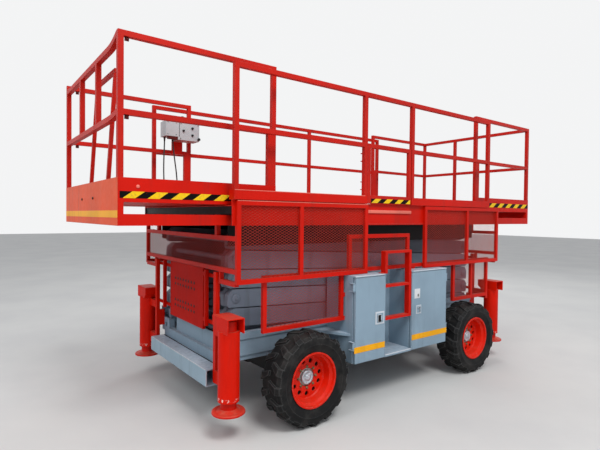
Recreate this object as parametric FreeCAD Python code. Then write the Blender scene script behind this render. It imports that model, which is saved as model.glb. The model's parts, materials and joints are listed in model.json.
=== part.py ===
import FreeCAD, Part
import math
import os

from FreeCAD import Vector

# Full-size rough-terrain scissor lift, stowed and parked on its wheels.
# +X is the steered end, +Y the machine's left side with the ladder, +Z up, in millimetres.
# Every place below is counted from the middle of the chassis, on the ground.

# Fits and small clearances
running_gap = 0.4
seat_gap = 0.3
side_gap = 5.0

# Scissor stack, which sets the length of the chassis and the deck
stages = 5
arm_length = 3200.0
stage_pitch = 160.0
arm_h = 150.0
arm_end_cut = 46.0
rear_pin_x = -arm_length / 2
rail_over = 100.0
rail_x = (rear_pin_x - rail_over, -rear_pin_x + rail_over)
base_pin_z = 700.0
inner_arm_y = (550.0, 610.0)
outer_arm_y = (620.0, 680.0)
pin_r = 25.0
pin_bite = 10.0
roller_r = 30.0
track_half = 32.0
track_plate = 12.0
tie_half = 40.0
tie_place = 0.93

# Lift cylinders, each from a foot in one inner arm pair to ears under a crossbar of the next
cylinder_foot = 0.55
cylinder_eye = 0.165
cylinder_drop = 85.0
barrel_r = 55.0
barrel_bore = 44.0
barrel_start = 54.0
barrel_wall = 20.0
barrel_len = 780.0
gland_len = 40.0
rod_r = 32.0
rod_start = 120.0
piston_len = 50.0
foot_eye_r = 46.0
rod_eye_r = 40.0
eye_w = 60.0
eye_lug_t = 16.0
foot_lug_t = 56.0
crossbar_r = 38.0

# Wheels
tyre_r = 380.0
tyre_w = 264.0
lug_count = 16
lug_h = 20.0
rim_lip_r = 227.0
rim_inset = 15.0
rim_disc_depth = 108.0
rim_disc_r = 178.0
rim_holes = 11
rim_hole_r = 19.0
rim_hole_circle = 136.0
rim_hole_turn = 8.0
rim_plate = 14.0
hub_r = 100.0
hub_depth = 20.0
hub_flange_r = 75.0
hub_flange_sink = 8.0
cap_r = 57.0
cap_out = 12.0
wheel_inset = 567.0
wheel_x = rail_x[1] - wheel_inset
wheel_y = 1038.0

# Axles and steering knuckles
axle_half = 70.0
axle_bowl = 110.0
axle_bowl_half = 150.0
axle_tip_y = 730.0
axle_seat_half = 300.0
kingpin_y = 830.0
kingpin_r = 22.0
drum_r = 76.0
knuckle_post_r = 34.0
ear_t = 24.0
ear_gap = 1.0
ear_half = 45.0
ear_root = 60.0

# Chassis
rail_y = 720.0
rail_web = 12.0
rail_z = (545.0, 744.0)
ledge_t = 12.0
ledge_h = 60.0
flange_w = 20.0
sill_w = 168.0
sill_h = 40.0
cross_half = 70.0
cross_inner_x = 380.0
cross_x = (rail_x[0] + cross_half, -wheel_x, -cross_inner_x, cross_inner_x, wheel_x, rail_x[1] - cross_half)
bracket_y = (520.0, 680.0)
bracket_t = 20.0
bracket_len = 60.0
bracket_top = 640.0
bracket_wall = 10.0
bracket_hole = 46.0
upright_half_y = 420.0
upright_top = 690.0
upright_t = 12.0
upright_inset = 40.0

# Bumpers
bumper_x = rail_x[1] + 141.0
bumper_depth = 136.0
bumper_half_y = 641.0
bumper_z = (323.0, 459.0)
bumper_wall = 8.0
bumper_link_half = 300.0

# Outriggers
jack_over = (85.0, 145.0)
jack_front_x = rail_x[1] + jack_over[0]
jack_rear_x = rail_x[0] - jack_over[1]
jack_y = 917.0
jack_tube_r = 83.0
jack_tube_z = (295.0, 830.0)
jack_leg_r = 62.0
jack_leg_top = 905.0
hood_half_x = 72.0
hood_y = (782.0, 1029.0)
hood_z = (822.0, 937.0)
hood_wall = 8.0
hood_bevel = 45.0
mast_back = 18.0
mast_half = 18.0
mast_y = (648.0, 690.0)
mast_z = (355.0, 1250.0)
jack_bracket_half = 22.0
jack_brackets_z = ((360.0, 465.0), (745.0, 815.0))
jack_foot_z = (560.0, 720.0)
pad_r = 128.0
pad_z = (205.0, 222.0)
pad_cone_h = 16.0

# Screens at the ends of the chassis
screen_inset = 4.0
screen_half_y = 370.0
screen_z = (722.0, 1250.0)
screen_t = 6.0
screen_lip = 24.0
screen_hole_r = 10.0
screen_hole_pitch = 62.0
screen_hole_columns = 8
screen_hole_middle = -30.0
screen_hole_rows = (839.0, 891.0, 1044.0, 1098.0)
screen_post_y = 474.0
screen_post_half = 15.0
screen_post_z = (777.0, 1250.0)
screen_ties_z = (800.0, 1190.0)
screen_tie_h = 30.0
screen_tie_t = 15.0

# Side cabinets
cabinet_y = (rail_y, 1105.0)
cabinet_tyre_gap = (86.0, 107.0)
cabinet_x = (-wheel_x + tyre_r + cabinet_tyre_gap[0], wheel_x - tyre_r - cabinet_tyre_gap[1])
cabinet_z = (402.0, 1180.0)
cabinet_wall = 20.0
roof_t = 14.0
well_w = 371.0
well_shift = 83.0
well_middle = sum(cabinet_x) / 2 + well_shift
well_x = (well_middle - well_w / 2, well_middle + well_w / 2)
well_depth = 290.0
door_t = 25.0
door_gap = 8.0
door_edge = 4.0
hinge_r = 9.0
hinge_pin_r = 4.0
hinge_out = 11.0
hinge_z = (530.0, 1050.0)
hinge_len = 60.0
hinge_ledge = 8.0
gusset_reach = 174.0
gusset_y = 1046.0
gusset_z = (640.0, 664.0)
engine_inset = 107.0
engine_len = 480.0
engine_side_gap = 60.0
engine_top_gap = 100.0

# Ladder
rung_z = (755.0, 1060.0, 1376.0)
ladder_y = (1040.0, 1096.0)
rung_h = 24.0
stile_w = 32.0

# Platform
deck_over = (120.0, 100.0)
deck_x = (rail_x[0] - deck_over[0], rail_x[1] + deck_over[1])
deck_z = (1628.0, 1898.0)
deck_y = 1012.0
band_z = 1824.0
band_w = 80.0
web_y = 980.0
web_t = 15.0
floor_z = (1712.0, 1781.0)
floor_plate = 6.0
floor_beam_half = 30.0
floor_beams = 7
top_track_gap = 8.0
top_track_w = 47.0
pivot_half = 55.0
tube = 38.0
rail_centre_y = 992.0
top_rail_z = 2843.0
mid_rail_share = 0.489
mid_rail_z = deck_z[1] + mid_rail_share * (top_rail_z - deck_z[1])
far_rail_rise = 56.0
gate_over = (107.0, 182.0)
gate_x = (well_x[0] - gate_over[0], well_x[1] + gate_over[1])
gate_gap = 6.0
gate_lift = 8.0
gate_toe_t = 4.0
gate_toe_top = 6.0
gate_hinges = (0.134, 0.697)
rear_post_x = rear_pin_x + 6.0
far_posts_x = (deck_x[0] + 20.0, gate_x[0] - 240.0, rail_x[1])

# Guards on the platform
guard_bar = 36.0
guard_y = (980.0, 1010.0)
guard_z = (1184.0, 1818.0)
guard_ends = (404.0, -424.0)
guard_inset = 26.0
front_guard_x = (guard_ends[0], deck_x[1] - guard_inset)
rear_guard_x = (deck_x[0], guard_ends[1])
guard_post_shares = (0.5577, 0.4542)
end_guard_z = (1260.0, 1510.0)
end_guard_low = 1165.0
end_guard_hanger_y = 660.0
end_guard_gap_y = 720.0

# Guards on the chassis
low_guard_y = (940.0, 970.0)
low_guard_z = (rail_z[1] + 31.0, 1232.0)
low_front_x = (cabinet_x[1] + 17.0, rail_x[1] - 184.0)
low_rear_x = (rail_x[0] + 27.0, cabinet_x[0] - 310.0)
low_rear_share = 0.483
low_middle_x = (well_x[0] - 118.0, cabinet_x[1] - 42.0)
low_middle_top = 1541.0
low_guard_legs_x = (cabinet_x[0] + 67.0, well_x[0] - 187.0, low_middle_x[1] - 44.0)
mesh_t = 3.0
mesh_cell = (200.0, 100.0)
mesh_strand = 14.0

# Extension decks
front_reach = deck_x[1] + 790.0
rear_reach = deck_x[0] - 986.0
ext_overlap = (460.0, 276.0)
front_inner_x = deck_x[1] - ext_overlap[0]
rear_inner_x = deck_x[0] + ext_overlap[1]
ext_y = 872.0
ext_side = 40.0
ext_z = (1628.0, 1707.0, 1786.0, 1951.0)
ext_floor = 10.0
ext_rail_y = 850.0
ext_top_z = 2921.0
ext_mid_share = 0.4485
ext_mid_z = ext_z[3] + ext_mid_share * (ext_top_z - ext_z[3])
end_box = 38.0
end_drop = 46.0
end_mid_drop = 18.0
bend_len = 230.0
end_upright_y = 274.0
runner_y = (640.0, 700.0)
runner_len = 420.0
hoop_y = (-119.0, 421.0)
hoop_sway = 112.0
hoop_bar = 28.0
hoop_top = 130.0
hoop_lean = 36.0
middle_x = -(front_reach + rear_reach) / 2

# Control box
box_back = 900.0
box_len = (240.0, 130.0)
box_x = (front_reach - box_back - sum(box_len), front_reach - box_back - box_len[1], front_reach - box_back)
box_y = (-819.0, -659.0)
box_z = (2500.0, 2690.0)
box_step = 30.0
plate_half = 60.0
stick_r = 12.0
stick_h = 70.0
stick_inset = 80.0
cord_r = 7.0
cord_gap = 0.6
gland_r = 14.0
gland_h = 50.0
cord_routes = (
    ((1668.0, -760.0, 2530.0), (1670.0, -757.0, 2440.0), (1678.0, -753.0, 2290.0), (1675.0, -762.0, 2130.0),
     (1668.0, -758.0, 1970.0), (1670.0, -752.0, 1850.0)),
    ((1586.0, -750.0, 2530.0), (1578.0, -748.0, 2440.0), (1556.0, -757.0, 2290.0), (1536.0, -749.0, 2130.0),
     (1524.0, -756.0, 1970.0), (1522.0, -750.0, 1850.0)),
)


# Basic shapes

def span(x, y, z):
    """A block between three pairs of low and high values."""
    return Part.makeBox(x[1] - x[0], y[1] - y[0], z[1] - z[0], Vector(x[0], y[0], z[0]))


def around(centre, half):
    return (centre - half, centre + half)


def ordered(a, b):
    return (min(a, b), max(a, b))


def rod(start, end, radius):
    direction = Vector(*end) - Vector(*start)
    return Part.makeCylinder(radius, direction.Length, Vector(*start), direction)


def side_rod(x, y, z, radius):
    """A round bar along Y between a pair of values."""
    return rod((x, y[0], z), (x, y[1], z), radius)


def fuse(shapes):
    whole = shapes[0]
    if len(shapes) > 1:
        whole = whole.fuse(shapes[1:])
    return whole.removeSplitter()


def mirror_y(shape):
    return shape.mirror(Vector(0, 0, 0), Vector(0, 1, 0))


def both_sides(shapes):
    return shapes + [mirror_y(shape) for shape in shapes]


def prism(points, axis, low, high):
    """A flat outline, given in the two other axes in X, Y, Z order, drawn out along one axis."""
    def place(u, v):
        return {"x": Vector(low, u, v), "y": Vector(u, low, v), "z": Vector(u, v, low)}[axis]
    corners = [place(u, v) for u, v in points]
    face = Part.Face(Part.makePolygon(corners + corners[:1]))
    reach = {"x": Vector(high - low, 0, 0), "y": Vector(0, high - low, 0), "z": Vector(0, 0, high - low)}
    return face.extrude(reach[axis])


def revolve(profile, axis, centre):
    """A closed profile of (radius, place along the axis) points turned about an axis through the centre."""
    turn = {"y": Vector(0, 1, 0), "z": Vector(0, 0, 1)}[axis]
    corners = [Vector(0, a, r) if axis == "y" else Vector(r, 0, a) for r, a in profile]
    face = Part.Face(Part.makePolygon(corners + corners[:1]))
    shape = face.revolve(Vector(0, 0, 0), turn, 360)
    shape.translate(Vector(*centre))
    return shape


def channel(x, y, z, plate, flange):
    """A C channel along X: its web at the outer side of y, a flange along each edge of z pointing inwards."""
    web = y[1] - plate
    outline = [(y[1], z[0]), (y[1], z[1]), (web - flange, z[1]),
               (web - flange, z[1] - plate), (web, z[1] - plate),
               (web, z[0] + plate), (web - flange, z[0] + plate), (web - flange, z[0])]
    return prism(outline, "x", x[0], x[1])


def write(name, shapes):
    if not isinstance(shapes, list):
        shapes = [shapes]
    whole = shapes[0] if len(shapes) == 1 else Part.makeCompound(shapes)
    whole.translate(Vector(middle_x, 0, 0))
    whole.exportStep("parts/" + name + ".step")


# Wheels

def tyre(side):
    """A low-section tyre with straight walls and two rows of slanted lugs."""
    half = tyre_w / 2
    carcass_r = tyre_r - lug_h
    bead_r = rim_lip_r - 9 + seat_gap
    profile = [(bead_r, -half + 27), (bead_r + 75, -half), (carcass_r - 18, -half + 6),
               (carcass_r, -half + 36), (carcass_r, half - 36), (carcass_r - 18, half - 6),
               (bead_r + 75, half), (bead_r, half - 27)]
    body = revolve(profile, "y", (0, 0, 0))
    outline = [(-46, 8), (-6, 8), (44, half - 34), (44, half - 4), (-14, half - 4), (-14, half - 34)]
    wedge = prism(outline, "z", carcass_r - 34, tyre_r)
    envelope = revolve([(carcass_r - 60, -half), (tyre_r - 26, -half + 2), (tyre_r, -half + 34),
                        (tyre_r, half - 34), (tyre_r - 26, half - 2), (carcass_r - 60, half)], "y", (0, 0, 0))
    lug = wedge.common(envelope)
    lugs = []
    for index in range(lug_count):
        for row, row_turn in ((1, 0.0), (-1, 0.5)):
            copy = lug.copy() if row == 1 else mirror_y(lug)
            copy.rotate(Vector(0, 0, 0), Vector(0, 1, 0), (index + row_turn) * 360 / lug_count)
            lugs.append(copy)
    whole = body.fuse(lugs)
    return whole if side > 0 else mirror_y(whole)


def rim(side):
    """A deep-dish rim with a flange each side, round holes, a sunk hub flange and a hub cap."""
    lip = tyre_w / 2 - rim_inset
    seat_r = rim_lip_r - 8
    disc = lip - rim_disc_depth
    back = disc - rim_plate
    well_r = rim_disc_r + 12
    profile = [(seat_r - 6, -lip), (rim_lip_r, -lip), (rim_lip_r, -lip + 7), (seat_r - 1, -lip + 10),
               (seat_r - 1, lip - 10), (rim_lip_r, lip - 7), (rim_lip_r, lip), (seat_r - 6, lip),
               (seat_r - 12, lip - 26), (well_r, lip - 40), (rim_disc_r, disc + 8), (rim_disc_r - 8, disc),
               (hub_flange_r, disc), (hub_flange_r, back), (rim_disc_r, back), (seat_r - 10, disc + 10)]
    wheel = revolve(profile, "y", (0, 0, 0))
    flange = disc - hub_flange_sink
    cap = disc + cap_out
    hub = revolve([(0.01, -hub_depth), (hub_r, -hub_depth), (hub_r, back), (hub_flange_r, back),
                   (hub_flange_r, flange), (cap_r, flange), (cap_r, cap - 6), (cap_r - 6, cap), (0.01, cap)],
                  "y", (0, 0, 0))
    whole = wheel.fuse(hub)
    for index in range(rim_holes):
        turn = math.radians(rim_hole_turn + index * 360 / rim_holes)
        x = rim_hole_circle * math.cos(turn)
        z = rim_hole_circle * math.sin(turn)
        whole = whole.cut(side_rod(x, (back - 1, disc + 1), z, rim_hole_r))
    whole = whole.removeSplitter()
    return whole if side > 0 else mirror_y(whole)


def build_wheels():
    for name, x, side in (("front_left", wheel_x, 1), ("front_right", wheel_x, -1),
                          ("rear_left", -wheel_x, 1), ("rear_right", -wheel_x, -1)):
        for kind, shape in (("tyre", tyre(side)), ("rim", rim(side))):
            shape.translate(Vector(x, side * wheel_y, tyre_r))
            write(kind + "_" + name, shape)


# Axles and knuckles

def axle_beam(x):
    beam = span(around(x, axle_half), (-axle_tip_y, axle_tip_y), around(tyre_r, axle_half))
    bowl = side_rod(x, around(0, axle_bowl_half), tyre_r, axle_bowl)
    seat = span(around(x, axle_half), around(0, axle_seat_half), (tyre_r, rail_z[0] - sill_h))
    return fuse([beam, bowl, seat])


def build_axles():
    post_half = drum_r + 6
    ear_top = post_half + ear_gap + ear_t
    hub_y = wheel_y - hub_depth - seat_gap
    root_y = kingpin_y - ear_root
    ears = []
    for low in (tyre_r - ear_top, tyre_r + post_half + ear_gap):
        ears.append(span(around(wheel_x, ear_half), (root_y, kingpin_y + ear_half), (low, low + ear_t)))
    ears.append(span(around(wheel_x, ear_half), (axle_tip_y - 20, root_y), around(tyre_r, ear_top)))
    bore = rod((wheel_x, kingpin_y, 0), (wheel_x, kingpin_y, 2 * tyre_r), kingpin_r + running_gap)
    yoke = fuse(ears).cut(bore)
    write("front_axle", fuse([axle_beam(wheel_x)] + both_sides([yoke])))
    spindle = side_rod(-wheel_x, (axle_tip_y - 10, hub_y), tyre_r, drum_r - 14)
    write("rear_axle", fuse([axle_beam(-wheel_x)] + both_sides([spindle])))
    drum = side_rod(wheel_x, (kingpin_y - 20, hub_y), tyre_r, drum_r)
    foot = Vector(wheel_x, kingpin_y, tyre_r - post_half)
    post = rod(foot, foot + Vector(0, 0, 2 * post_half), knuckle_post_r)
    pin = rod((wheel_x, kingpin_y, tyre_r - ear_top), (wheel_x, kingpin_y, tyre_r + ear_top), kingpin_r)
    knuckle = fuse([drum, post, pin])
    write("knuckle_left", knuckle.copy())
    write("knuckle_right", mirror_y(knuckle))


# Chassis

def rail_end(end):
    """What shows over the bumper at one end: a lower cross box, tie-down brackets and an upright plate."""
    x = ordered(end * rail_x[1], end * (rail_x[1] - rail_over))
    shapes = [span(x, around(0, bumper_half_y), (bumper_z[0] + 20, rail_z[0] - sill_h))]
    foot_z = rail_z[0] - sill_h
    bracket_z = (foot_z, bracket_top)
    outer = ordered(end * rail_x[1], end * (rail_x[1] - bracket_t))
    bracket = span(outer, bracket_y, bracket_z)
    hole_y = around(sum(bracket_y) / 2, bracket_hole / 2)
    hole_z = around(sum(bracket_z) / 2, bracket_hole / 2)
    bracket = bracket.cut(span(around(end * rail_x[1], bracket_len / 2), hole_y, hole_z))
    gusset = span(ordered(end * rail_x[1], end * (rail_x[1] - bracket_len)),
                  (bracket_y[0], bracket_y[0] + bracket_wall), bracket_z)
    shapes += both_sides([fuse([bracket, gusset])])
    face = rail_x[1] - upright_inset
    upright_x = ordered(end * face, end * (face - upright_t))
    shapes.append(span(upright_x, around(0, upright_half_y), (foot_z, upright_top)))
    lip = ordered(end * rail_x[1], end * (rail_x[1] - upright_t))
    shapes.append(span(lip, around(0, upright_half_y), (foot_z, foot_z + upright_t)))
    return shapes


def build_chassis():
    inner_face = rail_y - rail_web
    rail = channel(rail_x, (inner_face, rail_y), rail_z, rail_web, flange_w)
    ledge = span(rail_x, (rail_y, rail_y + ledge_t), (rail_z[1] - ledge_h, rail_z[1]))
    lower_track = base_pin_z - track_half - track_plate
    track = span(rail_x, (inner_face - flange_w, inner_face), (lower_track, lower_track + track_plate))
    upper_track = span(rail_x, (inner_face - flange_w, inner_face), (base_pin_z + track_half, rail_z[1]))
    sill = span(rail_x, (inner_face - sill_w, inner_face), (rail_z[0] - sill_h, rail_z[0]))
    pivot = span(around(rear_pin_x, cross_half), (outer_arm_y[1] + 4, inner_face), rail_z)
    pivot = pivot.cut(side_rod(rear_pin_x, (outer_arm_y[1], rail_y), base_pin_z, pin_r + running_gap))
    side = [rail, ledge, track, upper_track, sill, pivot]
    inner_y = inner_face - sill_w + 1
    cross_z = (rail_z[0] - sill_h, rail_z[0])
    cross = [span(around(x, cross_half), around(0, inner_y), cross_z) for x in cross_x]
    write("chassis_frame", fuse(both_sides(side) + cross + rail_end(1) + rail_end(-1)))
    bumpers = []
    across = around(0, bumper_half_y)
    for end in (1, -1):
        back = bumper_x - bumper_depth
        inner = ordered(end * (back + bumper_wall), end * (bumper_x - bumper_wall))
        bumpers.append(span(ordered(end * back, end * (back + bumper_wall)), across, bumper_z))
        bumpers.append(span(ordered(end * (bumper_x - bumper_wall), end * bumper_x), across, bumper_z))
        bumpers.append(span(inner, across, (bumper_z[0], bumper_z[0] + bumper_wall)))
        bumpers.append(span(inner, across, (bumper_z[1] - bumper_wall, bumper_z[1])))
        bumpers.append(span(ordered(end * rail_x[1], end * back), around(0, bumper_link_half),
                            (bumper_z[0] + 30, bumper_z[1])))
    write("bumpers", bumpers)


# Outriggers

def mast_x(jack_x, end):
    return jack_x - end * mast_back


def outrigger(jack_x, end):
    """Tube, hood and brackets of an outrigger on the left side, and the mast that carries it."""
    tube_shape = rod((jack_x, jack_y, jack_tube_z[0]), (jack_x, jack_y, jack_tube_z[1]), jack_tube_r)
    outline = [(hood_y[0], hood_z[0] + hood_bevel), (hood_y[0], hood_z[1]), (hood_y[1], hood_z[1]),
               (hood_y[1], hood_z[0]), (hood_y[0] + hood_bevel, hood_z[0])]
    hood = prism(outline, "x", jack_x - hood_half_x, jack_x + hood_half_x)
    inner = hood_half_x - hood_wall
    low, high = hood_y[0] + hood_wall, hood_z[1] - hood_wall
    outline = [(low, hood_z[0] + hood_bevel + 4), (low, high), (hood_y[1] + 1, high),
               (hood_y[1] + 1, hood_z[0] - 1), (low + hood_bevel + 4, hood_z[0] - 1)]
    hood = hood.cut(prism(outline, "x", jack_x - inner, jack_x + inner))
    back = mast_x(jack_x, end)
    bracket_x = around(back, jack_bracket_half)
    brackets = [span(bracket_x, (mast_y[1], jack_y - jack_leg_r), z) for z in jack_brackets_z]
    bore_r = jack_leg_r + running_gap
    bore = rod((jack_x, jack_y, jack_tube_z[0] - 1), (jack_x, jack_y, hood_z[1] - hood_wall), bore_r)
    body = fuse([tube_shape, hood] + brackets).cut(bore)
    mast = span(around(back, mast_half), mast_y, mast_z)
    foot = span(ordered(end * rail_x[1], back - end * mast_half), mast_y, jack_foot_z)
    return [body, fuse([mast, foot])]


def jack_leg(x, side):
    leg = rod((x, jack_y, pad_z[1] - 1), (x, jack_y, jack_leg_top), jack_leg_r)
    edge = 6.0
    pad = revolve([(0.01, pad_z[0]), (pad_r, pad_z[0]), (pad_r, pad_z[1] - edge), (pad_r - edge, pad_z[1]),
                   (jack_leg_r + 30, pad_z[1]), (jack_leg_r, pad_z[1] + pad_cone_h),
                   (0.01, pad_z[1] + pad_cone_h)],
                  "z", (x, jack_y, 0))
    shape = fuse([leg, pad])
    return shape if side > 0 else mirror_y(shape)


def build_outriggers():
    housings = []
    for name, x, side, end in (("front_left", jack_front_x, 1, 1), ("front_right", jack_front_x, -1, 1),
                               ("rear_left", jack_rear_x, 1, -1), ("rear_right", jack_rear_x, -1, -1)):
        housings += [shape if side > 0 else mirror_y(shape) for shape in outrigger(x, end)]
        write("jack_leg_" + name, jack_leg(x, side))
    write("outrigger_housings", housings)


def screen_plate(face_x, end):
    """A plate between the short posts, its side edges folded back, with rows of small round holes."""
    x = ordered(face_x, face_x - end * screen_t)
    plate = span(x, around(0, screen_half_y), screen_z)
    lip_x = ordered(face_x, face_x - end * screen_lip)
    lip = span(lip_x, (screen_half_y - screen_t, screen_half_y), screen_z)
    plate = fuse([plate] + both_sides([lip]))
    holes = []
    for z in screen_hole_rows:
        for column in range(screen_hole_columns):
            y = screen_hole_middle + (column - (screen_hole_columns - 1) / 2) * screen_hole_pitch
            holes.append(rod((x[0] - 1, y, z), (x[1] + 1, y, z), screen_hole_r))
    return plate.cut(Part.makeCompound(holes))


def build_screens():
    """Plates and short posts, carried by ties between the outriggers' masts."""
    pieces = []
    for jack_x, end in ((jack_front_x, 1), (jack_rear_x, -1)):
        back = mast_x(jack_x, end) - end * mast_half
        pieces.append(screen_plate(back - end * screen_inset, end))
        post_x = ordered(back, back + end * 2 * screen_post_half)
        bars = [span(post_x, around(screen_post_y, screen_post_half), screen_post_z)]
        for z in screen_ties_z:
            bars.append(span(ordered(back, back - end * screen_tie_t), (screen_half_y, mast_y[1]),
                             (z, z + screen_tie_h)))
        pieces += both_sides(bars)
    write("end_screens", pieces)


# Side cabinets

def hinge_axis(end):
    """The x and y of the door hinges at the front or rear end of a cabinet on the left side."""
    x = cabinet_x[1] + hinge_out if end > 0 else cabinet_x[0] - hinge_out
    return x, cabinet_y[1] - door_t / 2


def hinge_pins():
    """Pins at both ends of a cabinet, each held by a small ledge under and over the door's barrel."""
    shapes = []
    for end in (1, -1):
        x, y = hinge_axis(end)
        wall_x = cabinet_x[1] if end > 0 else cabinet_x[0]
        root_y = cabinet_y[1] - door_t - door_gap - 30
        for z in hinge_z:
            for low in (z - hinge_ledge - 1, z + hinge_len + 1):
                ledge_x = ordered(wall_x, x + end * hinge_r)
                shapes.append(span(ledge_x, (root_y, y + hinge_r), (low, low + hinge_ledge)))
            reach = hinge_ledge + 1
            shapes.append(rod((x, y, z - reach), (x, y, z + hinge_len + reach), hinge_pin_r))
    return shapes


def gussets():
    """A sloping triangular brace from the chassis rail to each end face of a cabinet."""
    shapes = []
    for wall_x, end in ((cabinet_x[1], 1), (cabinet_x[0], -1)):
        root = rail_y + ledge_t
        outline = [(wall_x, root), (wall_x + end * gusset_reach, root), (wall_x, gusset_y)]
        shapes.append(prism(outline, "z", gusset_z[0], gusset_z[1]))
    return shapes


def cabinet(bays, well):
    """A shell closed by doors over its bays, under one roof, with an open well where one is given."""
    shell = span(cabinet_x, cabinet_y, cabinet_z)
    shell = shell.cut(span(rail_x, (cabinet_y[0] - 1, rail_y + ledge_t), (rail_z[1] - ledge_h, rail_z[1])))
    for low, high in bays:
        shell = shell.cut(span((low + cabinet_wall, high - cabinet_wall),
                               (cabinet_y[0] + cabinet_wall, cabinet_y[1] + 1),
                               (cabinet_z[0] + cabinet_wall, cabinet_z[1] - cabinet_wall)))
        rebate = (low - (1 if low == cabinet_x[0] else 0), high + (1 if high == cabinet_x[1] else 0))
        shell = shell.cut(span(rebate, (cabinet_y[1] - door_t - door_gap, cabinet_y[1] + 1),
                               (cabinet_z[0] - 1, cabinet_z[1] - roof_t)))
    if well:
        shell = shell.cut(span(well, (cabinet_y[1] - well_depth, cabinet_y[1] + 1),
                               (cabinet_z[0] + cabinet_wall, cabinet_z[1] + 1)))
    return fuse([shell] + hinge_pins() + gussets())


def door(bay, end, side):
    low, high = bay
    shapes = [span((low + door_edge, high - door_edge), (cabinet_y[1] - door_t, cabinet_y[1]),
                   (cabinet_z[0] + door_edge, cabinet_z[1] - roof_t - door_edge))]
    x, y = hinge_axis(end)
    edge = high - door_edge - 2 if end > 0 else low + door_edge + 2
    for z in hinge_z:
        shapes.append(rod((x, y, z), (x, y, z + hinge_len), hinge_r))
        shapes.append(span(ordered(edge, x), (y, y + hinge_r), (z, z + hinge_len)))
    shape = fuse(shapes)
    for z in hinge_z:
        shape = shape.cut(rod((x, y, z - 1), (x, y, z + hinge_len + 1), hinge_pin_r + running_gap))
    return shape if side > 0 else mirror_y(shape)


def build_cabinets():
    left_bays = [(well_x[1], cabinet_x[1]), (cabinet_x[0], well_x[0])]
    middle = (cabinet_x[0] + cabinet_x[1]) / 2
    right_bays = [(middle, cabinet_x[1]), (cabinet_x[0], middle)]
    write("cabinet_left", cabinet(left_bays, well_x))
    write("cabinet_right", mirror_y(cabinet(right_bays, None)))
    for side_name, bays, side in (("left", left_bays, 1), ("right", right_bays, -1)):
        write("door_" + side_name + "_front", door(bays[0], 1, side))
        write("door_" + side_name + "_rear", door(bays[1], -1, side))
    engine_x = (cabinet_x[0] + engine_inset, cabinet_x[0] + engine_inset + engine_len)
    engine = span(engine_x, (cabinet_y[0] + cabinet_wall, cabinet_y[1] - cabinet_wall - engine_side_gap),
                  (cabinet_z[0] + cabinet_wall, cabinet_z[1] - engine_top_gap))
    write("engine_block", mirror_y(engine))


def build_ladder():
    """Two rungs across the well, a long stile at its rear edge and a step loop over the roof."""
    half = rung_h / 2
    rungs = [span(well_x, ladder_y, around(z, half)) for z in rung_z]
    long_stile = span((well_x[0], well_x[0] + stile_w), ladder_y, (rung_z[0] - half, rung_z[2] + half))
    short_stile = span((well_x[1] - stile_w, well_x[1]), ladder_y, (cabinet_z[1] - 1, rung_z[2] + half))
    foot = span((well_x[1] - stile_w, well_x[1] + stile_w), ladder_y, (cabinet_z[1], cabinet_z[1] + 6))
    write("ladder", fuse(rungs + [long_stile, short_stile, foot]))


# Guards

def diamond_sheet(u, v, axis, low):
    """A thin sheet with diamond openings in staggered rows, between two pairs of values."""
    def place(a, b):
        return Vector(a, low, b) if axis == "y" else Vector(low, a, b)

    def wire(points):
        corners = [place(a, b) for a, b in points]
        return Part.makePolygon(corners + corners[:1])

    columns = max(1, round((u[1] - u[0]) / mesh_cell[0]))
    rows = max(1, round((v[1] - v[0]) / mesh_cell[1]))
    cell_u = (u[1] - u[0]) / columns
    cell_v = (v[1] - v[0]) / rows
    half_u = cell_u / 2 - mesh_strand
    half_v = cell_v / 2 - mesh_strand / 2
    centres = [(column + 0.5, row + 0.5) for row in range(rows) for column in range(columns)]
    centres += [(column, row) for row in range(1, rows) for column in range(1, columns)]
    wires = [wire([(u[0], v[0]), (u[1], v[0]), (u[1], v[1]), (u[0], v[1])])]
    for column, row in centres:
        a = u[0] + cell_u * column
        b = v[0] + cell_v * row
        wires.append(wire([(a - half_u, b), (a, b - half_v), (a + half_u, b), (a, b + half_v)]))
    face = Part.Face(wires, "Part::FaceMakerBullseye")
    return face.extrude(Vector(0, mesh_t, 0) if axis == "y" else Vector(mesh_t, 0, 0))


def guard_frame(x, y, z, posts):
    """A welded frame in an XZ plane: rails along its top and bottom, with uprights butted between them."""
    inner_z = (z[0] + guard_bar, z[1] - guard_bar)
    bars = [span(x, y, (z[0], inner_z[0])), span(x, y, (inner_z[1], z[1]))]
    for low in [x[0], x[1] - guard_bar] + [post - guard_bar / 2 for post in posts]:
        bars.append(span((low, low + guard_bar), y, inner_z))
    return bars


def infill(x, y, z, posts):
    """A mesh sheet in each clear bay of a frame."""
    edges = [x[0] + guard_bar]
    for post in sorted(posts):
        edges += around(post, guard_bar / 2)
    edges.append(x[1] - guard_bar)
    bays = zip(edges[0::2], edges[1::2])
    return [diamond_sheet(bay, (z[0] + guard_bar, z[1] - guard_bar), "y", (y[0] + y[1]) / 2) for bay in bays]


def end_guard(face_x, end):
    """Bars between the two side frames at one end of the platform, and their mesh."""
    x = ordered(face_x, face_x - end * guard_bar)
    side_y = guard_y[0]
    low, high = end_guard_z
    bars = [span(x, around(0, side_y), (z, z + guard_bar)) for z in end_guard_z]
    upper = (low + guard_bar, high)
    for side in (1, -1):
        hanger = around(side * end_guard_hanger_y, guard_bar / 2)
        bars.append(span(x, hanger, (high + guard_bar, floor_z[0])))
        tail = ordered(side * end_guard_gap_y, side * side_y)
        bars.append(span(x, tail, (end_guard_low, end_guard_low + guard_bar)))
        bars.append(span(x, ordered(side * end_guard_gap_y, side * (end_guard_gap_y + guard_bar / 2)),
                         (end_guard_low + guard_bar, low)))
    sheet = diamond_sheet((-side_y, side_y), upper, "x", face_x - end * guard_bar / 2)
    return bars, [sheet]


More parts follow.
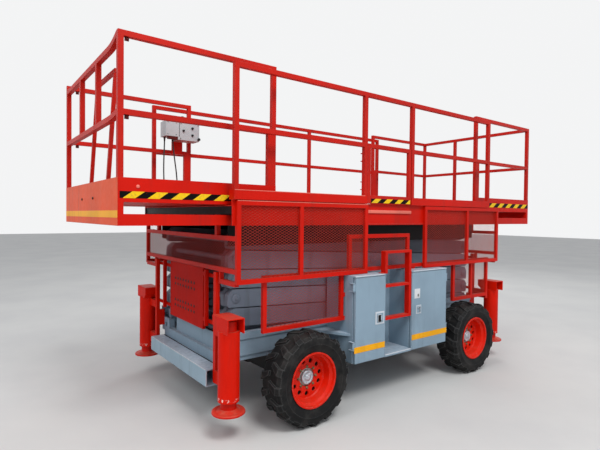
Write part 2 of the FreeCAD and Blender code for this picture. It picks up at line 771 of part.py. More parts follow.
def build_upper_guards():
    frames = []
    sheets = []
    for x, post_share in zip((front_guard_x, rear_guard_x), guard_post_shares):
        posts = (x[0] + post_share * (x[1] - x[0]),)
        frames += guard_frame(x, guard_y, guard_z, posts)
        sheets += infill(x, guard_y, guard_z, posts)
    frames = both_sides(frames)
    sheets = both_sides(sheets)
    for face_x, end in ((front_guard_x[1], 1), (rear_guard_x[0], -1)):
        bars, mesh = end_guard(face_x, end)
        frames += bars
        sheets += mesh
    write("platform_guards", frames)
    write("platform_guard_mesh", sheets)


def build_lower_guards():
    """Two low frames and a raised middle one on a long top rail, tied to the cabinet and the rails."""
    rail_low = low_guard_z[1] - guard_bar
    frames = [span((low_rear_x[0], low_front_x[1]), low_guard_y, (rail_low, low_guard_z[1]))]
    sheets = []
    rear_post = low_rear_x[0] + low_rear_share * (low_rear_x[1] - low_rear_x[0])
    for x, posts in ((low_front_x, ()), (low_rear_x, (rear_post,))):
        bottom, *rest = guard_frame(x, low_guard_y, low_guard_z, posts)
        frames += [bottom] + rest[1:]
        sheets += infill(x, low_guard_y, low_guard_z, posts)
    middle_z = (rail_low, low_middle_top)
    frames += guard_frame(low_middle_x, low_guard_y, middle_z, ())[1:]
    sheets += infill(low_middle_x, low_guard_y, middle_z, ())
    for x in low_guard_legs_x:
        frames.append(span(around(x, guard_bar / 2), low_guard_y, (cabinet_z[1], rail_low)))
    for low in (low_guard_z[0], (low_guard_z[0] + rail_low) / 2):
        frames.append(span((cabinet_x[1], low_front_x[0]), low_guard_y, (low, low + guard_bar)))
    rear = (low_rear_x[0], low_rear_x[0] + guard_bar)
    frames.append(span(rear, (rail_y - rail_web, low_guard_y[1]), (rail_z[1], low_guard_z[0])))
    write("chassis_guards", both_sides(frames))
    write("chassis_guard_mesh", both_sides(sheets))


# Scissor stack

def rest_angle():
    return math.asin(stage_pitch / arm_length)


def front_pin_x():
    return rear_pin_x + arm_length * math.cos(rest_angle())


def pin_z(level):
    return base_pin_z + stage_pitch * level


def along_inner(index, share):
    """The point on an inner arm's line, counted from its front end."""
    x = front_pin_x() + (rear_pin_x - front_pin_x()) * share
    return x, pin_z(index - 1) + stage_pitch * share


def beam(start, end, y):
    """A flat-sided arm between two (x, z) pins, each end rounded below and cut above."""
    half = arm_h / 2
    turn = math.atan2(end[1] - start[1], end[0] - start[0])
    along = Vector(math.cos(turn), 0, math.sin(turn))
    across = Vector(-math.sin(turn), 0, math.cos(turn))
    if along.x < 0:
        across = -across
    a = Vector(start[0], y[0], start[1])
    b = Vector(end[0], y[0], end[1])
    outline = []
    for pin, out in ((b, along), (a, -along)):
        corner = pin + out * half
        lower = [Part.makeLine(pin - across * half, pin - across * half + out * (half - arm_end_cut / 2)),
                 Part.Arc(pin - across * half + out * (half - arm_end_cut / 2),
                          corner - across * (half - arm_end_cut / 7) - out * (arm_end_cut / 7),
                          corner - across * (half - arm_end_cut / 2)).toShape(),
                 Part.makeLine(corner - across * (half - arm_end_cut / 2),
                               corner + across * (half - arm_end_cut)),
                 Part.makeLine(corner + across * (half - arm_end_cut),
                               pin + across * half + out * (half - arm_end_cut))]
        outline.append((lower, pin + across * half + out * (half - arm_end_cut), pin - across * half))
    (edges_b, top_b, foot_b), (edges_a, top_a, foot_a) = outline
    edges = edges_b + [Part.makeLine(top_b, top_a)] + edges_a + [Part.makeLine(foot_a, foot_b)]
    wire = Part.Wire(Part.sortEdges(edges)[0])
    return Part.Face(wire).extrude(Vector(0, y[1] - y[0], 0))


def top_track_y():
    low = outer_arm_y[1] + top_track_gap
    return low, low + top_track_w


def outer_arm(index):
    """Arm that rises towards the front; it owns the axles at both of its ends."""
    start = (rear_pin_x, pin_z(index - 1))
    end = (front_pin_x(), pin_z(index))
    centre = ((start[0] + end[0]) / 2, (start[1] + end[1]) / 2)
    shapes = both_sides([beam(start, end, outer_arm_y)])
    seat = outer_arm_y[0] + pin_bite
    first = rail_y - rail_web - 6 if index == 1 else seat
    shapes.append(side_rod(start[0], around(0, first), start[1], pin_r))
    shapes.append(side_rod(end[0], around(0, seat), end[1], pin_r))
    shapes += both_sides([side_rod(centre[0], (inner_arm_y[0], outer_arm_y[1] - pin_bite), centre[1], pin_r)])
    if index == stages:
        low, high = top_track_y()
        roller = side_rod(end[0], (low + 4, high - track_plate - 4), end[1], roller_r)
        neck = side_rod(end[0], (outer_arm_y[1] - pin_bite, low + pin_bite), end[1], pin_r)
        shapes += both_sides([fuse([roller, neck])])
    return fuse(shapes)


def cylinder_foot_shapes(index):
    """A crossbar in two halves, each ending in a lug beside the barrel's eye, and the pin between them."""
    x, z = along_inner(index, cylinder_foot)
    gap = eye_w / 2 + side_gap
    shapes = [side_rod(x, around(0, gap + pin_bite), z, pin_r)]
    for side in (1, -1):
        lug = (gap, gap + foot_lug_t)
        shapes.append(side_rod(x, ordered(side * lug[0], side * lug[1]), z, foot_eye_r))
        shapes.append(side_rod(x, ordered(side * (lug[1] - 1), side * (inner_arm_y[0] + 5)), z, crossbar_r))
    return shapes


def cylinder_ear_shapes(index):
    """A whole crossbar with a pair of ears that hold the rod's eye under it."""
    x, z = along_inner(index, cylinder_eye)
    low = z - cylinder_drop
    shapes = [side_rod(x, around(0, inner_arm_y[0] + 5), z, crossbar_r)]
    for side in (1, -1):
        inner = eye_w / 2 + side_gap
        y = ordered(side * inner, side * (inner + eye_lug_t))
        ear = fuse([span(around(x, rod_eye_r), y, (low, z)), side_rod(x, y, low, rod_eye_r)])
        shapes.append(ear.cut(side_rod(x, y, low, pin_r)))
    return shapes


def inner_arm(index):
    """Arm that rises towards the rear; its ends turn on the outer arms' axles."""
    start = (front_pin_x(), pin_z(index - 1))
    end = (rear_pin_x, pin_z(index))
    centre = ((start[0] + end[0]) / 2, (start[1] + end[1]) / 2)
    arm = beam(start, end, inner_arm_y)
    bores = [centre, end] if index == 1 else [centre, end, start]
    for x, z in bores:
        arm = arm.cut(side_rod(x, (inner_arm_y[0] - 1, inner_arm_y[1] + 1), z, pin_r + running_gap))
    shapes = both_sides([arm])
    tie_x, tie_z = along_inner(index, tie_place)
    shapes.append(span(around(tie_x, tie_half), around(0, inner_arm_y[0] + 5), around(tie_z, tie_half)))
    if index == 1:
        reach = rail_y - rail_web - 4
        shapes += both_sides([side_rod(start[0], (reach - flange_w + 8, reach), start[1], roller_r)])
        shapes.append(side_rod(start[0], around(0, reach), start[1], pin_r))
    if index in (1, 3):
        shapes += cylinder_foot_shapes(index)
    if index in (2, 4):
        shapes += cylinder_ear_shapes(index)
    return fuse(shapes)


def lift_cylinder(index):
    """Barrel and rod from the foot on one inner arm to the ears under the next one's crossbar."""
    foot_x, foot_z = along_inner(index, cylinder_foot)
    eye_x, eye_z = along_inner(index + 1, cylinder_eye)
    eye_z -= cylinder_drop
    length = math.hypot(eye_x - foot_x, eye_z - foot_z)
    across = around(0, eye_w / 2)
    neck = span((0, barrel_start + 5), across, around(0, barrel_bore - 4))
    tube_shape = rod((barrel_start, 0, 0), (barrel_len, 0, 0), barrel_r)
    barrel = fuse([side_rod(0, across, 0, foot_eye_r), neck, tube_shape])
    bore = rod((barrel_start + barrel_wall, 0, 0), (barrel_len - gland_len, 0, 0), barrel_bore)
    gland = rod((barrel_len - gland_len - 1, 0, 0), (barrel_len + 1, 0, 0), rod_r + running_gap)
    barrel = barrel.cut(bore).cut(gland).cut(side_rod(0, around(0, eye_w), 0, pin_r + running_gap))
    piston = rod((rod_start, 0, 0), (rod_start + piston_len, 0, 0), barrel_bore - running_gap)
    ram = fuse([piston, rod((rod_start, 0, 0), (length - rod_eye_r / 2, 0, 0), rod_r),
                side_rod(length, across, 0, rod_eye_r)])
    tilt = math.degrees(math.atan2(eye_z - foot_z, eye_x - foot_x))
    for shape in (barrel, ram):
        shape.rotate(Vector(0, 0, 0), Vector(0, -1, 0), tilt)
        shape.translate(Vector(foot_x, 0, foot_z))
    return barrel, ram


def build_arms():
    for index in range(1, stages + 1):
        write("outer_arm_%d" % index, outer_arm(index))
        write("inner_arm_%d" % index, inner_arm(index))
    for name, index in (("lower", 1), ("upper", 3)):
        barrel, ram = lift_cylinder(index)
        write("lift_barrel_" + name, barrel)
        write("lift_rod_" + name, ram)


# Platform

def deck_side():
    """On the left: the side web, and the channel that the top arms run in, with its rear pivot."""
    web = span(deck_x, (web_y - web_t, web_y), (deck_z[0], band_z))
    track_y = top_track_y()
    pin_height = pin_z(stages)
    track_z = around(pin_height, track_half + track_plate)
    flange = track_y[1] - track_plate - track_y[0]
    track = channel(rail_x, track_y, track_z, track_plate, flange)
    hanger = span(rail_x, (track_y[1] - track_plate, track_y[1]), (track_z[1], floor_z[0]))
    pivot = span(around(rear_pin_x, pivot_half), outer_arm_y, (pin_height - pivot_half, floor_z[0]))
    brace_y = (outer_arm_y[1], track_y[1] - track_plate)
    brace = span(around(rear_pin_x, pivot_half), brace_y, (track_z[1], floor_z[0]))
    pin = side_rod(rear_pin_x, (inner_arm_y[0], outer_arm_y[0]), pin_height, pin_r)
    return [web, fuse([track, hanger, pivot, brace, pin])]


def build_platform():
    inner_y = web_y - web_t
    plate = span(deck_x, around(0, inner_y), (floor_z[1] - floor_plate, floor_z[1]))
    first, last = deck_x[0] + 40, deck_x[1] - 40
    beam_z = (floor_z[0], floor_z[1] - floor_plate)
    beams = []
    for index in range(floor_beams):
        x = first + (last - first) * index / (floor_beams - 1)
        beams.append(span(around(x, floor_beam_half), around(0, inner_y), beam_z))
    floor = fuse([plate] + beams)
    band_y = (deck_y - band_w, deck_y)
    bands = [span((gate_x[1] - tube / 2, deck_x[1]), band_y, (band_z, deck_z[1])),
             span((rear_post_x - tube / 2, gate_x[0] + tube / 2), band_y, (band_z, deck_z[1])),
             mirror_y(span(deck_x, band_y, (band_z, deck_z[1])))]
    write("platform_deck", [floor] + bands + both_sides(deck_side()))


def handrail(y, posts, ends, gap, rise=0):
    """Top and mid rails on posts, as square tubes in an XZ plane; the mid rail leaves out the gap."""
    across = around(y, tube / 2)
    low, high = ends
    top = top_rail_z + rise
    middle = mid_rail_z + rise * mid_rail_share
    bars = [span((low, high), across, (top - tube, top))]
    pieces = [(low, gap[0]), (gap[1], high)] if gap else [(low, high)]
    bars += [span(piece, across, around(middle, tube / 2)) for piece in pieces]
    bars += [span(around(x, tube / 2), across, (deck_z[1], top)) for x in posts]
    return bars


def build_rails():
    near_posts = (rear_post_x, gate_x[0], gate_x[1], deck_x[1] - tube / 2)
    near = handrail(rail_centre_y, near_posts, (rear_post_x - tube / 2, deck_x[1]), gate_x)
    far_ends = (far_posts_x[0] - tube / 2, far_posts_x[-1] + tube / 2)
    far = handrail(-rail_centre_y, far_posts_x, far_ends, None, far_rail_rise)
    low = gate_x[0] + tube / 2 + gate_gap
    high = gate_x[1] - tube / 2 - gate_gap
    hinge_y = rail_centre_y - tube / 2 - hinge_r
    hinge_low = [deck_z[1] + share * (mid_rail_z - deck_z[1]) for share in gate_hinges]
    barrels = []
    for z in hinge_low:
        pin_low = Vector(high, hinge_y, z - hinge_ledge)
        near.append(rod(pin_low, pin_low + Vector(0, 0, hinge_len + 2 * hinge_ledge), hinge_pin_r))
        for ledge in (z - hinge_ledge - 1, z + hinge_len + 1):
            near.append(span((high - hinge_r, gate_x[1] + tube / 2), around(hinge_y, hinge_r),
                             (ledge, ledge + hinge_ledge)))
        barrels.append(rod((high, hinge_y, z), (high, hinge_y, z + hinge_len), hinge_r))
        barrels.append(span((high - tube, high), (hinge_y, rail_centre_y - tube / 2 + 5), (z, z + hinge_len)))
    write("platform_rails", [fuse(near), fuse(far)])
    across = around(rail_centre_y, tube / 2 - 4)
    foot = band_z + gate_lift
    bars = [span((low, high), across, around(mid_rail_z, tube / 2)),
            span((low, high), across, (foot, foot + tube)),
            span((low, low + tube), across, (foot, mid_rail_z)),
            span((high - tube, high), across, (foot, mid_rail_z)),
            span((low, high), (across[1] - gate_toe_t, across[1]), (foot, deck_z[1] + gate_toe_top))]
    gate = fuse(bars + barrels)
    for z in hinge_low:
        bore_low = Vector(high, hinge_y, z - 1)
        gate = gate.cut(rod(bore_low, bore_low + Vector(0, 0, hinge_len + 2), hinge_pin_r + running_gap))
    write("gate", gate)


# Extension decks

def bent_rail(x, z, drop):
    """A tube across the end whose left end bends up by the drop, in one arc as long as bend_len."""
    half = tube / 2
    tip = ext_rail_y - half
    foot = tip - bend_len
    low = z - drop
    if drop == 0:
        return span(around(x, half), around(0, tip), around(z, half))
    turn = 2 * math.atan(drop / bend_len)
    radius = bend_len / math.sin(turn)
    straight = span(around(x, half), (-tip, foot), around(low, half))

    def on_arc(share, offset):
        angle = turn * share
        return Vector(x - half, foot + (radius - offset) * math.sin(angle),
                      low + radius - (radius - offset) * math.cos(angle))

    edges = [Part.Arc(on_arc(0, -half), on_arc(0.5, -half), on_arc(1, -half)).toShape(),
             Part.makeLine(on_arc(1, -half), on_arc(1, half)),
             Part.Arc(on_arc(1, half), on_arc(0.5, half), on_arc(0, half)).toShape(),
             Part.makeLine(on_arc(0, half), on_arc(0, -half))]
    bend = Part.Face(Part.Wire(Part.sortEdges(edges)[0])).extrude(Vector(tube, 0, 0))
    return fuse([straight, bend])


def build_extension(name, inner_x, outer_x, end, drops, upright_foot):
    """An extension deck: floor and toe boards above, lower side tubes below, joined by the end box."""
    body_x = ordered(inner_x, outer_x - end * end_box)
    side_y = (ext_y - ext_side, ext_y)
    floor = span(body_x, around(0, side_y[0]), (ext_z[2], ext_z[2] + ext_floor))
    upper = span(body_x, side_y, (ext_z[2], ext_z[3]))
    lower = span(body_x, side_y, (ext_z[0], ext_z[1]))
    end_wall = span(ordered(outer_x - end * end_box, outer_x), around(0, ext_y), (ext_z[0], ext_z[3]))
    runner = span(ordered(inner_x, inner_x + end * runner_len), runner_y, (floor_z[1], ext_z[2]))
    write(name + "_extension_deck", fuse([floor, end_wall] + both_sides([upper, lower, runner])))
    half = tube / 2
    across = around(ext_rail_y, half)
    post_x = outer_x - end * end_box / 2
    top = ext_top_z - half
    bars = []
    for x in (inner_x + end * half, post_x):
        bars.append(span(around(x, half), across, (ext_z[3], ext_top_z)))
    bars.append(span(ordered(inner_x + end * tube, inner_x + end * 2 * tube), across, (ext_z[3], ext_mid_z)))
    for z in (top, ext_mid_z):
        bars.append(span(ordered(inner_x, outer_x), across, around(z, half)))
    bars = both_sides(bars)
    bars.append(bent_rail(post_x, top, drops[0]))
    bars.append(bent_rail(post_x, ext_mid_z, drops[1]))
    for side in (1, -1):
        upright_y = around(side * end_upright_y, half)
        bars.append(span(around(post_x, half), upright_y, (upright_foot, top - drops[0])))
    write(name + "_extension_rails", fuse(bars))


def build_hoop():
    """A hoop on the front extension's floor behind the end box, leaning back and to the left."""
    half = hoop_bar / 2
    foot_x = front_reach - end_box - tube / 2 - half - 2
    top_x = foot_x - hoop_lean
    floor = ext_z[2] + ext_floor
    top = ext_top_z - hoop_top
    run = Vector(-hoop_lean, hoop_sway, top - floor)
    bars = [span(around(top_x, half), (hoop_y[0] - half, hoop_y[1] + half), (top - hoop_bar, top))]
    for y in hoop_y:
        foot = Vector(foot_x - half, y - hoop_sway - half, floor)
        bars.append(Part.Face(Part.makePlane(hoop_bar, hoop_bar, foot)).extrude(run))
    write("hoop", fuse(bars))


# Control box and its cables

def build_control_box():
    low, split, high = box_x
    main = span((low, split), box_y, box_z)
    front = span((split, high), box_y, (box_z[0] + box_step + cord_gap, box_z[1]))
    middle = (low + high) / 2
    plate_z = (ext_mid_z - tube / 2, box_z[1])
    plate = span(around(middle, plate_half), (-ext_rail_y + tube / 2, box_y[0]), plate_z)
    stick_x = split - stick_inset
    stick_y = box_y[0] + stick_inset
    stick = rod((stick_x, stick_y, box_z[1] - 5), (stick_x, stick_y, box_z[1] + stick_h), stick_r)
    upper = []
    lower = []
    for route in cord_routes:
        x, y, z = route[0]
        upper.append(rod((x, y, z + cord_gap), (x, y, z + gland_h), gland_r))
        x, y, z = route[-1]
        lower.append(rod((x, y, ext_z[2] + ext_floor), (x, y, z - cord_gap), gland_r))
    write("control_box", fuse([main, front, plate, stick] + upper))
    write("floor_glands", lower)


def cord(route, radius):
    """Straight runs joined by tangent arcs, as large as the runs beside them allow."""
    points = [Vector(*point) for point in route]
    edges = []
    radii = []
    start = points[0]
    for index in range(1, len(points) - 1):
        before = points[index - 1] - points[index]
        after = points[index + 1] - points[index]
        shorter = min(before.Length, after.Length)
        inward = Vector(before).normalize()
        outward = Vector(after).normalize()
        turn = math.pi - inward.getAngle(outward)
        cut = 0.45 * shorter
        radii.append(cut / math.tan(turn / 2))
        a = points[index] + inward * cut
        b = points[index] + outward * cut
        bisector = (inward + outward).normalize()
        centre_distance = radii[-1] / math.cos(turn / 2)
        middle = points[index] + bisector * (centre_distance - radii[-1])
        edges.append(Part.LineSegment(start, a).toShape())
        edges.append(Part.Arc(a, middle, b).toShape())
        start = b
    edges.append(Part.LineSegment(start, points[-1]).toShape())
    path = Part.Wire(edges)
    section = Part.Wire(Part.makeCircle(radius, points[0], points[1] - points[0]))
    shape = path.makePipeShell([section], True, False)
    print("cord length %.0f, tightest radius %.0f, volume over section %.0f"
          % (path.Length, min(radii), shape.Volume / (math.pi * radius ** 2)))
    return shape


def build_cords():
    write("control_cables", [cord(route, cord_r) for route in cord_routes])


def main():
    os.makedirs("parts", exist_ok=True)
    build_wheels()
    build_axles()
    build_chassis()
    build_outriggers()
    build_screens()
    build_cabinets()
    build_ladder()
    build_upper_guards()
    build_lower_guards()
    build_arms()
    build_platform()
    build_rails()
    build_extension("front", front_inner_x, front_reach, 1, (end_drop, end_mid_drop), ext_mid_z)
    build_extension("rear", rear_inner_x, rear_reach, -1, (0, 0), ext_z[3])
    build_hoop()
    build_control_box()
    build_cords()


main()
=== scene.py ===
"""The looks of a full-size rough-terrain scissor lift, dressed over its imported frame, in metres."""
import json
import math

import bmesh
import bpy
from mathutils import Matrix, Vector


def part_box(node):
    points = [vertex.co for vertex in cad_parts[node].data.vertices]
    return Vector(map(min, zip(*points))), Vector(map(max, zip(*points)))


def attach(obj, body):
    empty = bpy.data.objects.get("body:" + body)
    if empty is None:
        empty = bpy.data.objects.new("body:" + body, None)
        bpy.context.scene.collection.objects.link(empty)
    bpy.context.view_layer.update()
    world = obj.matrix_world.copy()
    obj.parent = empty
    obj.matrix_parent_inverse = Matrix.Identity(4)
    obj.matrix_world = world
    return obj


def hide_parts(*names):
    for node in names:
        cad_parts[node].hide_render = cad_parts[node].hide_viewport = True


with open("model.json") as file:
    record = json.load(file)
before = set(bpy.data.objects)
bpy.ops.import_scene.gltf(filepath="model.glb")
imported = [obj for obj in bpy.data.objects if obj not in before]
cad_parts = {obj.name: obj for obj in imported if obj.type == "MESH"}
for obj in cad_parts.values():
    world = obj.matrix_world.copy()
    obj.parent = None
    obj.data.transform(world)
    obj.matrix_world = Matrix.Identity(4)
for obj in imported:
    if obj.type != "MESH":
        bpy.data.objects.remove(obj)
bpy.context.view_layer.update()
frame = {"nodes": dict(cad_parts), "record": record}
scene = bpy.context.scene
nodes = frame["nodes"]

# Where the photograph was taken from, in the frame of the object
camera_at = (3.550, 4.002, 1.705)
camera_yaw = math.radians(-126.963)
camera_pitch = math.radians(-1.121)
camera_roll = math.radians(0.588)
camera_lens = 27.467

# The shift from the middle of the chassis, which places are counted from, to the frame of the object
middle_x = 0.108

# The two cables between the control box and the floor, straight from the part's own routes
cable_d = 0.014
cable_routes = (
    ((1.668, -0.760, 2.530), (1.670, -0.757, 2.440), (1.678, -0.753, 2.290), (1.675, -0.762, 2.130),
     (1.668, -0.758, 1.970), (1.670, -0.752, 1.850)),
    ((1.586, -0.750, 2.530), (1.578, -0.748, 2.440), (1.556, -0.757, 2.290), (1.536, -0.749, 2.130),
     (1.524, -0.756, 1.970), (1.522, -0.750, 1.850)),
)

# Expanded metal: width of a diamond and pitch of the strands, a strand's width and thickness, and how far
# its knuckles stand out to each side
cell = (0.042, 0.011)
strand_w = 0.0021
strand_t = 0.0020
strand_sway = 0.0011

# Hubs, as (radius, place) outlines and places counted outwards from the middle of the rim
hub_flange = [(0.0580, 0.0008), (0.0742, 0.0008), (0.0746, 0.0030), (0.0715, 0.0055), (0.0580, 0.0055)]
hub_cap = [(0.0580, 0.0030), (0.0585, 0.0205), (0.0560, 0.0245), (0.0420, 0.0262), (0.0400, 0.0240),
           (0.0260, 0.0245), (0.0240, 0.0290), (0.0120, 0.0310), (0.0010, 0.0312)]
# A near-black disc behind the rim's holes, as painted shade
hub_shade_disc = [(0.166, -0.0110), (0.166, -0.0080)]
hub_nuts = 8
hub_nut_circle = 0.0885
hub_nut_seat = 0.009
hub_nut_r = 0.0095
hub_nut_height = 0.014

# The corners and sides of the machine, as the nodes are named
corners = ("front_left", "front_right", "rear_left", "rear_right")
sides = ((1, "left"), (-1, "right"))

# How far stickers, paint bands and worn paint stand proud, and the rounding of such thin sheets
sticker = 0.0015
band_skin = 0.0012
worn_skin = 0.0010
sheet_round = 0.0004

# Colours as they look in daylight, written in sRGB
red = (0.79, 0.075, 0.005)
# Paler red for upward faces, as sun-faded paint and painted sky sheen
red_faded_sheen = (0.75, 0.30, 0.23)
grey_blue = (0.545, 0.635, 0.700)
grey_arm = (0.46, 0.505, 0.56)
yellow = (0.93, 0.76, 0.10)
black = (0.014, 0.012, 0.012)
# Near-black for the painted shade under the decks
under_deck_shade_colour = (0.10, 0.095, 0.10)

# What lies inside a half length, a half width and a height, and its colour; under the decks this colour is
# painted shade
under_deck_shade = (3.0, 0.972, 1.775, under_deck_shade_colour)
under_roll_out_deck_shade = (2.655, 0.835, 1.770, under_deck_shade_colour)
foot_of_box = (3.0, 2.0, 2.498, red)

# The chipped ring at the foot of the outrigger tubes
scuffed_z = (0.308, 0.326)


def place(x, y, z):
    """A place counted from the middle of the chassis, in the frame of the object."""
    return Vector((x + middle_x, y, z))


def linear(colour):
    """An sRGB colour as the linear RGBA that sockets take."""
    return tuple(c / 12.92 if c <= 0.04045 else ((c + 0.055) / 1.055) ** 2.4 for c in colour) + (1.0,)


# Materials

class Shader:
    """Builds one material from a few kinds of node."""

    def __init__(self, name, roughness, metallic=0.0, shine=0.5):
        self.material = bpy.data.materials.new(name)
        self.material.use_nodes = True
        self.tree = self.material.node_tree
        self.bsdf = self.tree.nodes["Principled BSDF"]
        self.bsdf.inputs["Metallic"].default_value = metallic
        self.bsdf.inputs["Roughness"].default_value = roughness
        self.bsdf.inputs["Specular IOR Level"].default_value = shine
        self.place = self.add("ShaderNodeTexCoord").outputs["Object"]

    def add(self, kind, **settings):
        node = self.tree.nodes.new(kind)
        for key, value in settings.items():
            setattr(node, key, value)
        return node

    def link(self, source, socket):
        self.tree.links.new(source, socket)

    def feed(self, socket, value):
        """Sets a socket to a number or a colour, or links another node's output to it."""
        if isinstance(value, (int, float)):
            socket.default_value = value
        elif isinstance(value, tuple):
            socket.default_value = linear(value)
        else:
            self.link(value, socket)

    def noise(self, scale, detail=4.0, roughness=0.55, stretch=None):
        """Noise from 0 to 1 at so many cells a metre, drawn out along an axis whose stretch is under 1."""
        node = self.add("ShaderNodeTexNoise")
        node.inputs["Scale"].default_value = scale
        node.inputs["Detail"].default_value = detail
        node.inputs["Roughness"].default_value = roughness
        source = self.place
        if stretch:
            mapping = self.add("ShaderNodeMapping")
            mapping.inputs["Scale"].default_value = stretch
            self.link(source, mapping.inputs["Vector"])
            source = mapping.outputs["Vector"]
        self.link(source, node.inputs["Vector"])
        return node.outputs["Fac"]

    def ramp(self, source, low, high):
        """0 at low and 1 at high, smooth between them."""
        node = self.add("ShaderNodeMapRange", interpolation_type="SMOOTHSTEP")
        node.inputs["From Min"].default_value = low
        node.inputs["From Max"].default_value = high
        self.link(source, node.inputs["Value"])
        return node.outputs["Result"]

    def math(self, operation, a, b=None, clamp=False):
        """One operation on one or two values."""
        node = self.add("ShaderNodeMath", operation=operation, use_clamp=clamp)
        self.feed(node.inputs[0], a)
        if b is not None:
            self.feed(node.inputs[1], b)
        return node.outputs[0]

    def mix(self, factor, a, b):
        """Colour a where the factor is 0 and b where it is 1."""
        node = self.add("ShaderNodeMix", data_type="RGBA")
        inputs = {socket.identifier: socket for socket in node.inputs}
        self.feed(inputs["Factor_Float"], factor)
        self.feed(inputs["A_Color"], a)
        self.feed(inputs["B_Color"], b)
        return {socket.identifier: socket for socket in node.outputs}["Result_Color"]

    def normal(self):
        """The true normal."""
        return self.add("ShaderNodeNewGeometry").outputs["Normal"]

    def rounded(self, radius):
        """The normal, turned smoothly over the edges."""
        bevel = self.add("ShaderNodeBevel", samples=4)
        bevel.inputs["Radius"].default_value = radius
        return bevel.outputs["Normal"]

    def component(self, vector, index):
        """X, Y or Z of a vector."""
        split = self.add("ShaderNodeSeparateXYZ")
        self.link(vector, split.inputs[0])
        return split.outputs[index]

    def axis(self, index):
        """The place along X, Y or Z, in the frame of the object."""
        return self.component(self.place, index)

    def up(self):
        """1 on faces that look up, 0 on upright ones."""
        return self.ramp(self.component(self.normal(), 2), 0.35, 0.85)

    def edges(self, radius):
        """1 near sharp edges, from the difference between the rounded and the true normal."""
        dot = self.add("ShaderNodeVectorMath", operation="DOT_PRODUCT")
        self.link(self.rounded(radius), dot.inputs[0])
        self.link(self.normal(), dot.inputs[1])
        return self.ramp(dot.outputs["Value"], 0.995, 0.90)

    def bump(self, height, strength, distance, radius=0.0):
        """Bump from a height, over a normal that is rounded at the edges where a radius is given."""
        node = self.add("ShaderNodeBump")
        node.inputs["Strength"].default_value = strength
        node.inputs["Distance"].default_value = distance
        self.link(height, node.inputs["Height"])
        if radius:
            self.link(self.rounded(radius), node.inputs["Normal"])
        self.link(node.outputs["Normal"], self.bsdf.inputs["Normal"])

    def finish(self, colour, roughness=None):
        """Gives the surface its colour, and a roughness where that varies."""
        self.link(colour, self.bsdf.inputs["Base Color"])
        if roughness is not None:
            self.link(roughness, self.bsdf.inputs["Roughness"])
        return self.material


def paint(name, colour, faded_sheen_colour, top_fade_sheen=0.45, dirt=0.35, chips=0.5, roughness=0.38, edge=0.0025, inner=None,
          scuff=None, shine=0.15):
    """Weathered machine paint: paler on upward faces as sun-faded paint and painted sky sheen, dusty in
    patches, worn and chipped along the edges.

    Where inner is given as a half length, a half width, a height and a colour, what lies inside it has it.
    Where scuff is given as two heights, the paint between them is chipped to pale primer."""
    s = Shader(name, roughness, shine=shine)

    # Broad patches, fine grain, and streaks down the upright faces
    patches = s.noise(1.7, 3.0)
    fine = s.noise(28.0, 6.0, 0.62)
    streak = s.noise(9.0, 4.0, 0.6, stretch=(1.0, 1.0, 0.12))
    base = s.mix(s.ramp(patches, 0.35, 0.7), colour, tuple(0.93 * c for c in colour))

    # Paler on what looks up, as sun-faded paint and painted sky sheen, and grime in the streaks
    top_fade_sheen_mask = s.math("MULTIPLY", s.up(), s.math("ADD", 0.35, s.ramp(fine, 0.3, 0.75)))
    base = s.mix(s.math("MULTIPLY", top_fade_sheen_mask, top_fade_sheen, clamp=True), base, faded_sheen_colour)
    grime = tuple(0.30 * c + 0.13 for c in colour)
    base = s.mix(s.math("MULTIPLY", s.ramp(streak, 0.52, 0.80), dirt, clamp=True), base, grime)

    # Edges rubbed pale, and small rusty chips
    rub = s.math("MULTIPLY", s.edges(edge), s.ramp(fine, 0.50, 0.62))
    light = tuple(min(1.0, 0.55 * c + 0.42) for c in colour)
    base = s.mix(s.math("MULTIPLY", rub, chips, clamp=True), base, light)
    chip = s.math("MULTIPLY", s.ramp(s.noise(75.0, 3.0), 0.71, 0.74), s.ramp(patches, 0.50, 0.62))
    base = s.mix(s.math("MULTIPLY", chip, 0.8 * chips), base, (0.26, 0.17, 0.14))
    if scuff:
        band = s.math("MULTIPLY", s.ramp(s.axis(2), scuff[0] - 0.002, scuff[0]),
                      s.ramp(s.axis(2), scuff[1] + 0.006, scuff[1]))
        flaked = s.ramp(s.noise(38.0, 5.0, 0.7), 0.55, 0.60)
        base = s.mix(s.math("MULTIPLY", band, flaked), base, (0.93, 0.79, 0.75))
    # Inside the box given by inner the colour is replaced; under the decks this is painted shade
    if inner:
        within = s.math("LESS_THAN", s.axis(2), inner[2])
        for axis in (0, 1):
            near = s.math("LESS_THAN", s.math("ABSOLUTE", s.axis(axis)), inner[axis])
            within = s.math("MULTIPLY", within, near)
        base = s.mix(within, base, inner[3])
    s.bump(s.noise(240.0, 2.0), 0.10, 0.0004, edge)
    return s.finish(base, s.math("ADD", roughness - 0.06, s.math("MULTIPLY", fine, 0.26)))


def stripes(name, period, start):
    """Slanting black and yellow bands on a worn sticker; a yellow one begins at start, along X and up.

    The whole turns only keep the count of bands above 0."""
    lean, whole_turns = 1.4, 40
    s = Shader(name, 0.45, shine=0.10)
    along = s.math("ADD", s.axis(0), s.math("MULTIPLY", s.axis(2), lean))
    turns = s.math("DIVIDE", s.math("SUBTRACT", along, start), period)
    wave = s.math("FRACT", s.math("ADD", turns, whole_turns + 0.5))
    band = s.math("GREATER_THAN", wave, 0.5)
    fine = s.noise(60.0, 5.0)
    dusty = s.mix(s.ramp(fine, 0.45, 0.75), yellow, (0.80, 0.66, 0.20))
    dark = s.mix(s.ramp(fine, 0.5, 0.8), black, (0.06, 0.05, 0.045))
    colour = s.mix(band, dusty, dark)
    wear_and_highlight = s.ramp(s.noise(95.0, 4.0), 0.66, 0.70)
    colour = s.mix(s.math("MULTIPLY", wear_and_highlight, 0.7), colour, red)
    s.bump(fine, 0.1, 0.0005)
    return s.finish(colour)


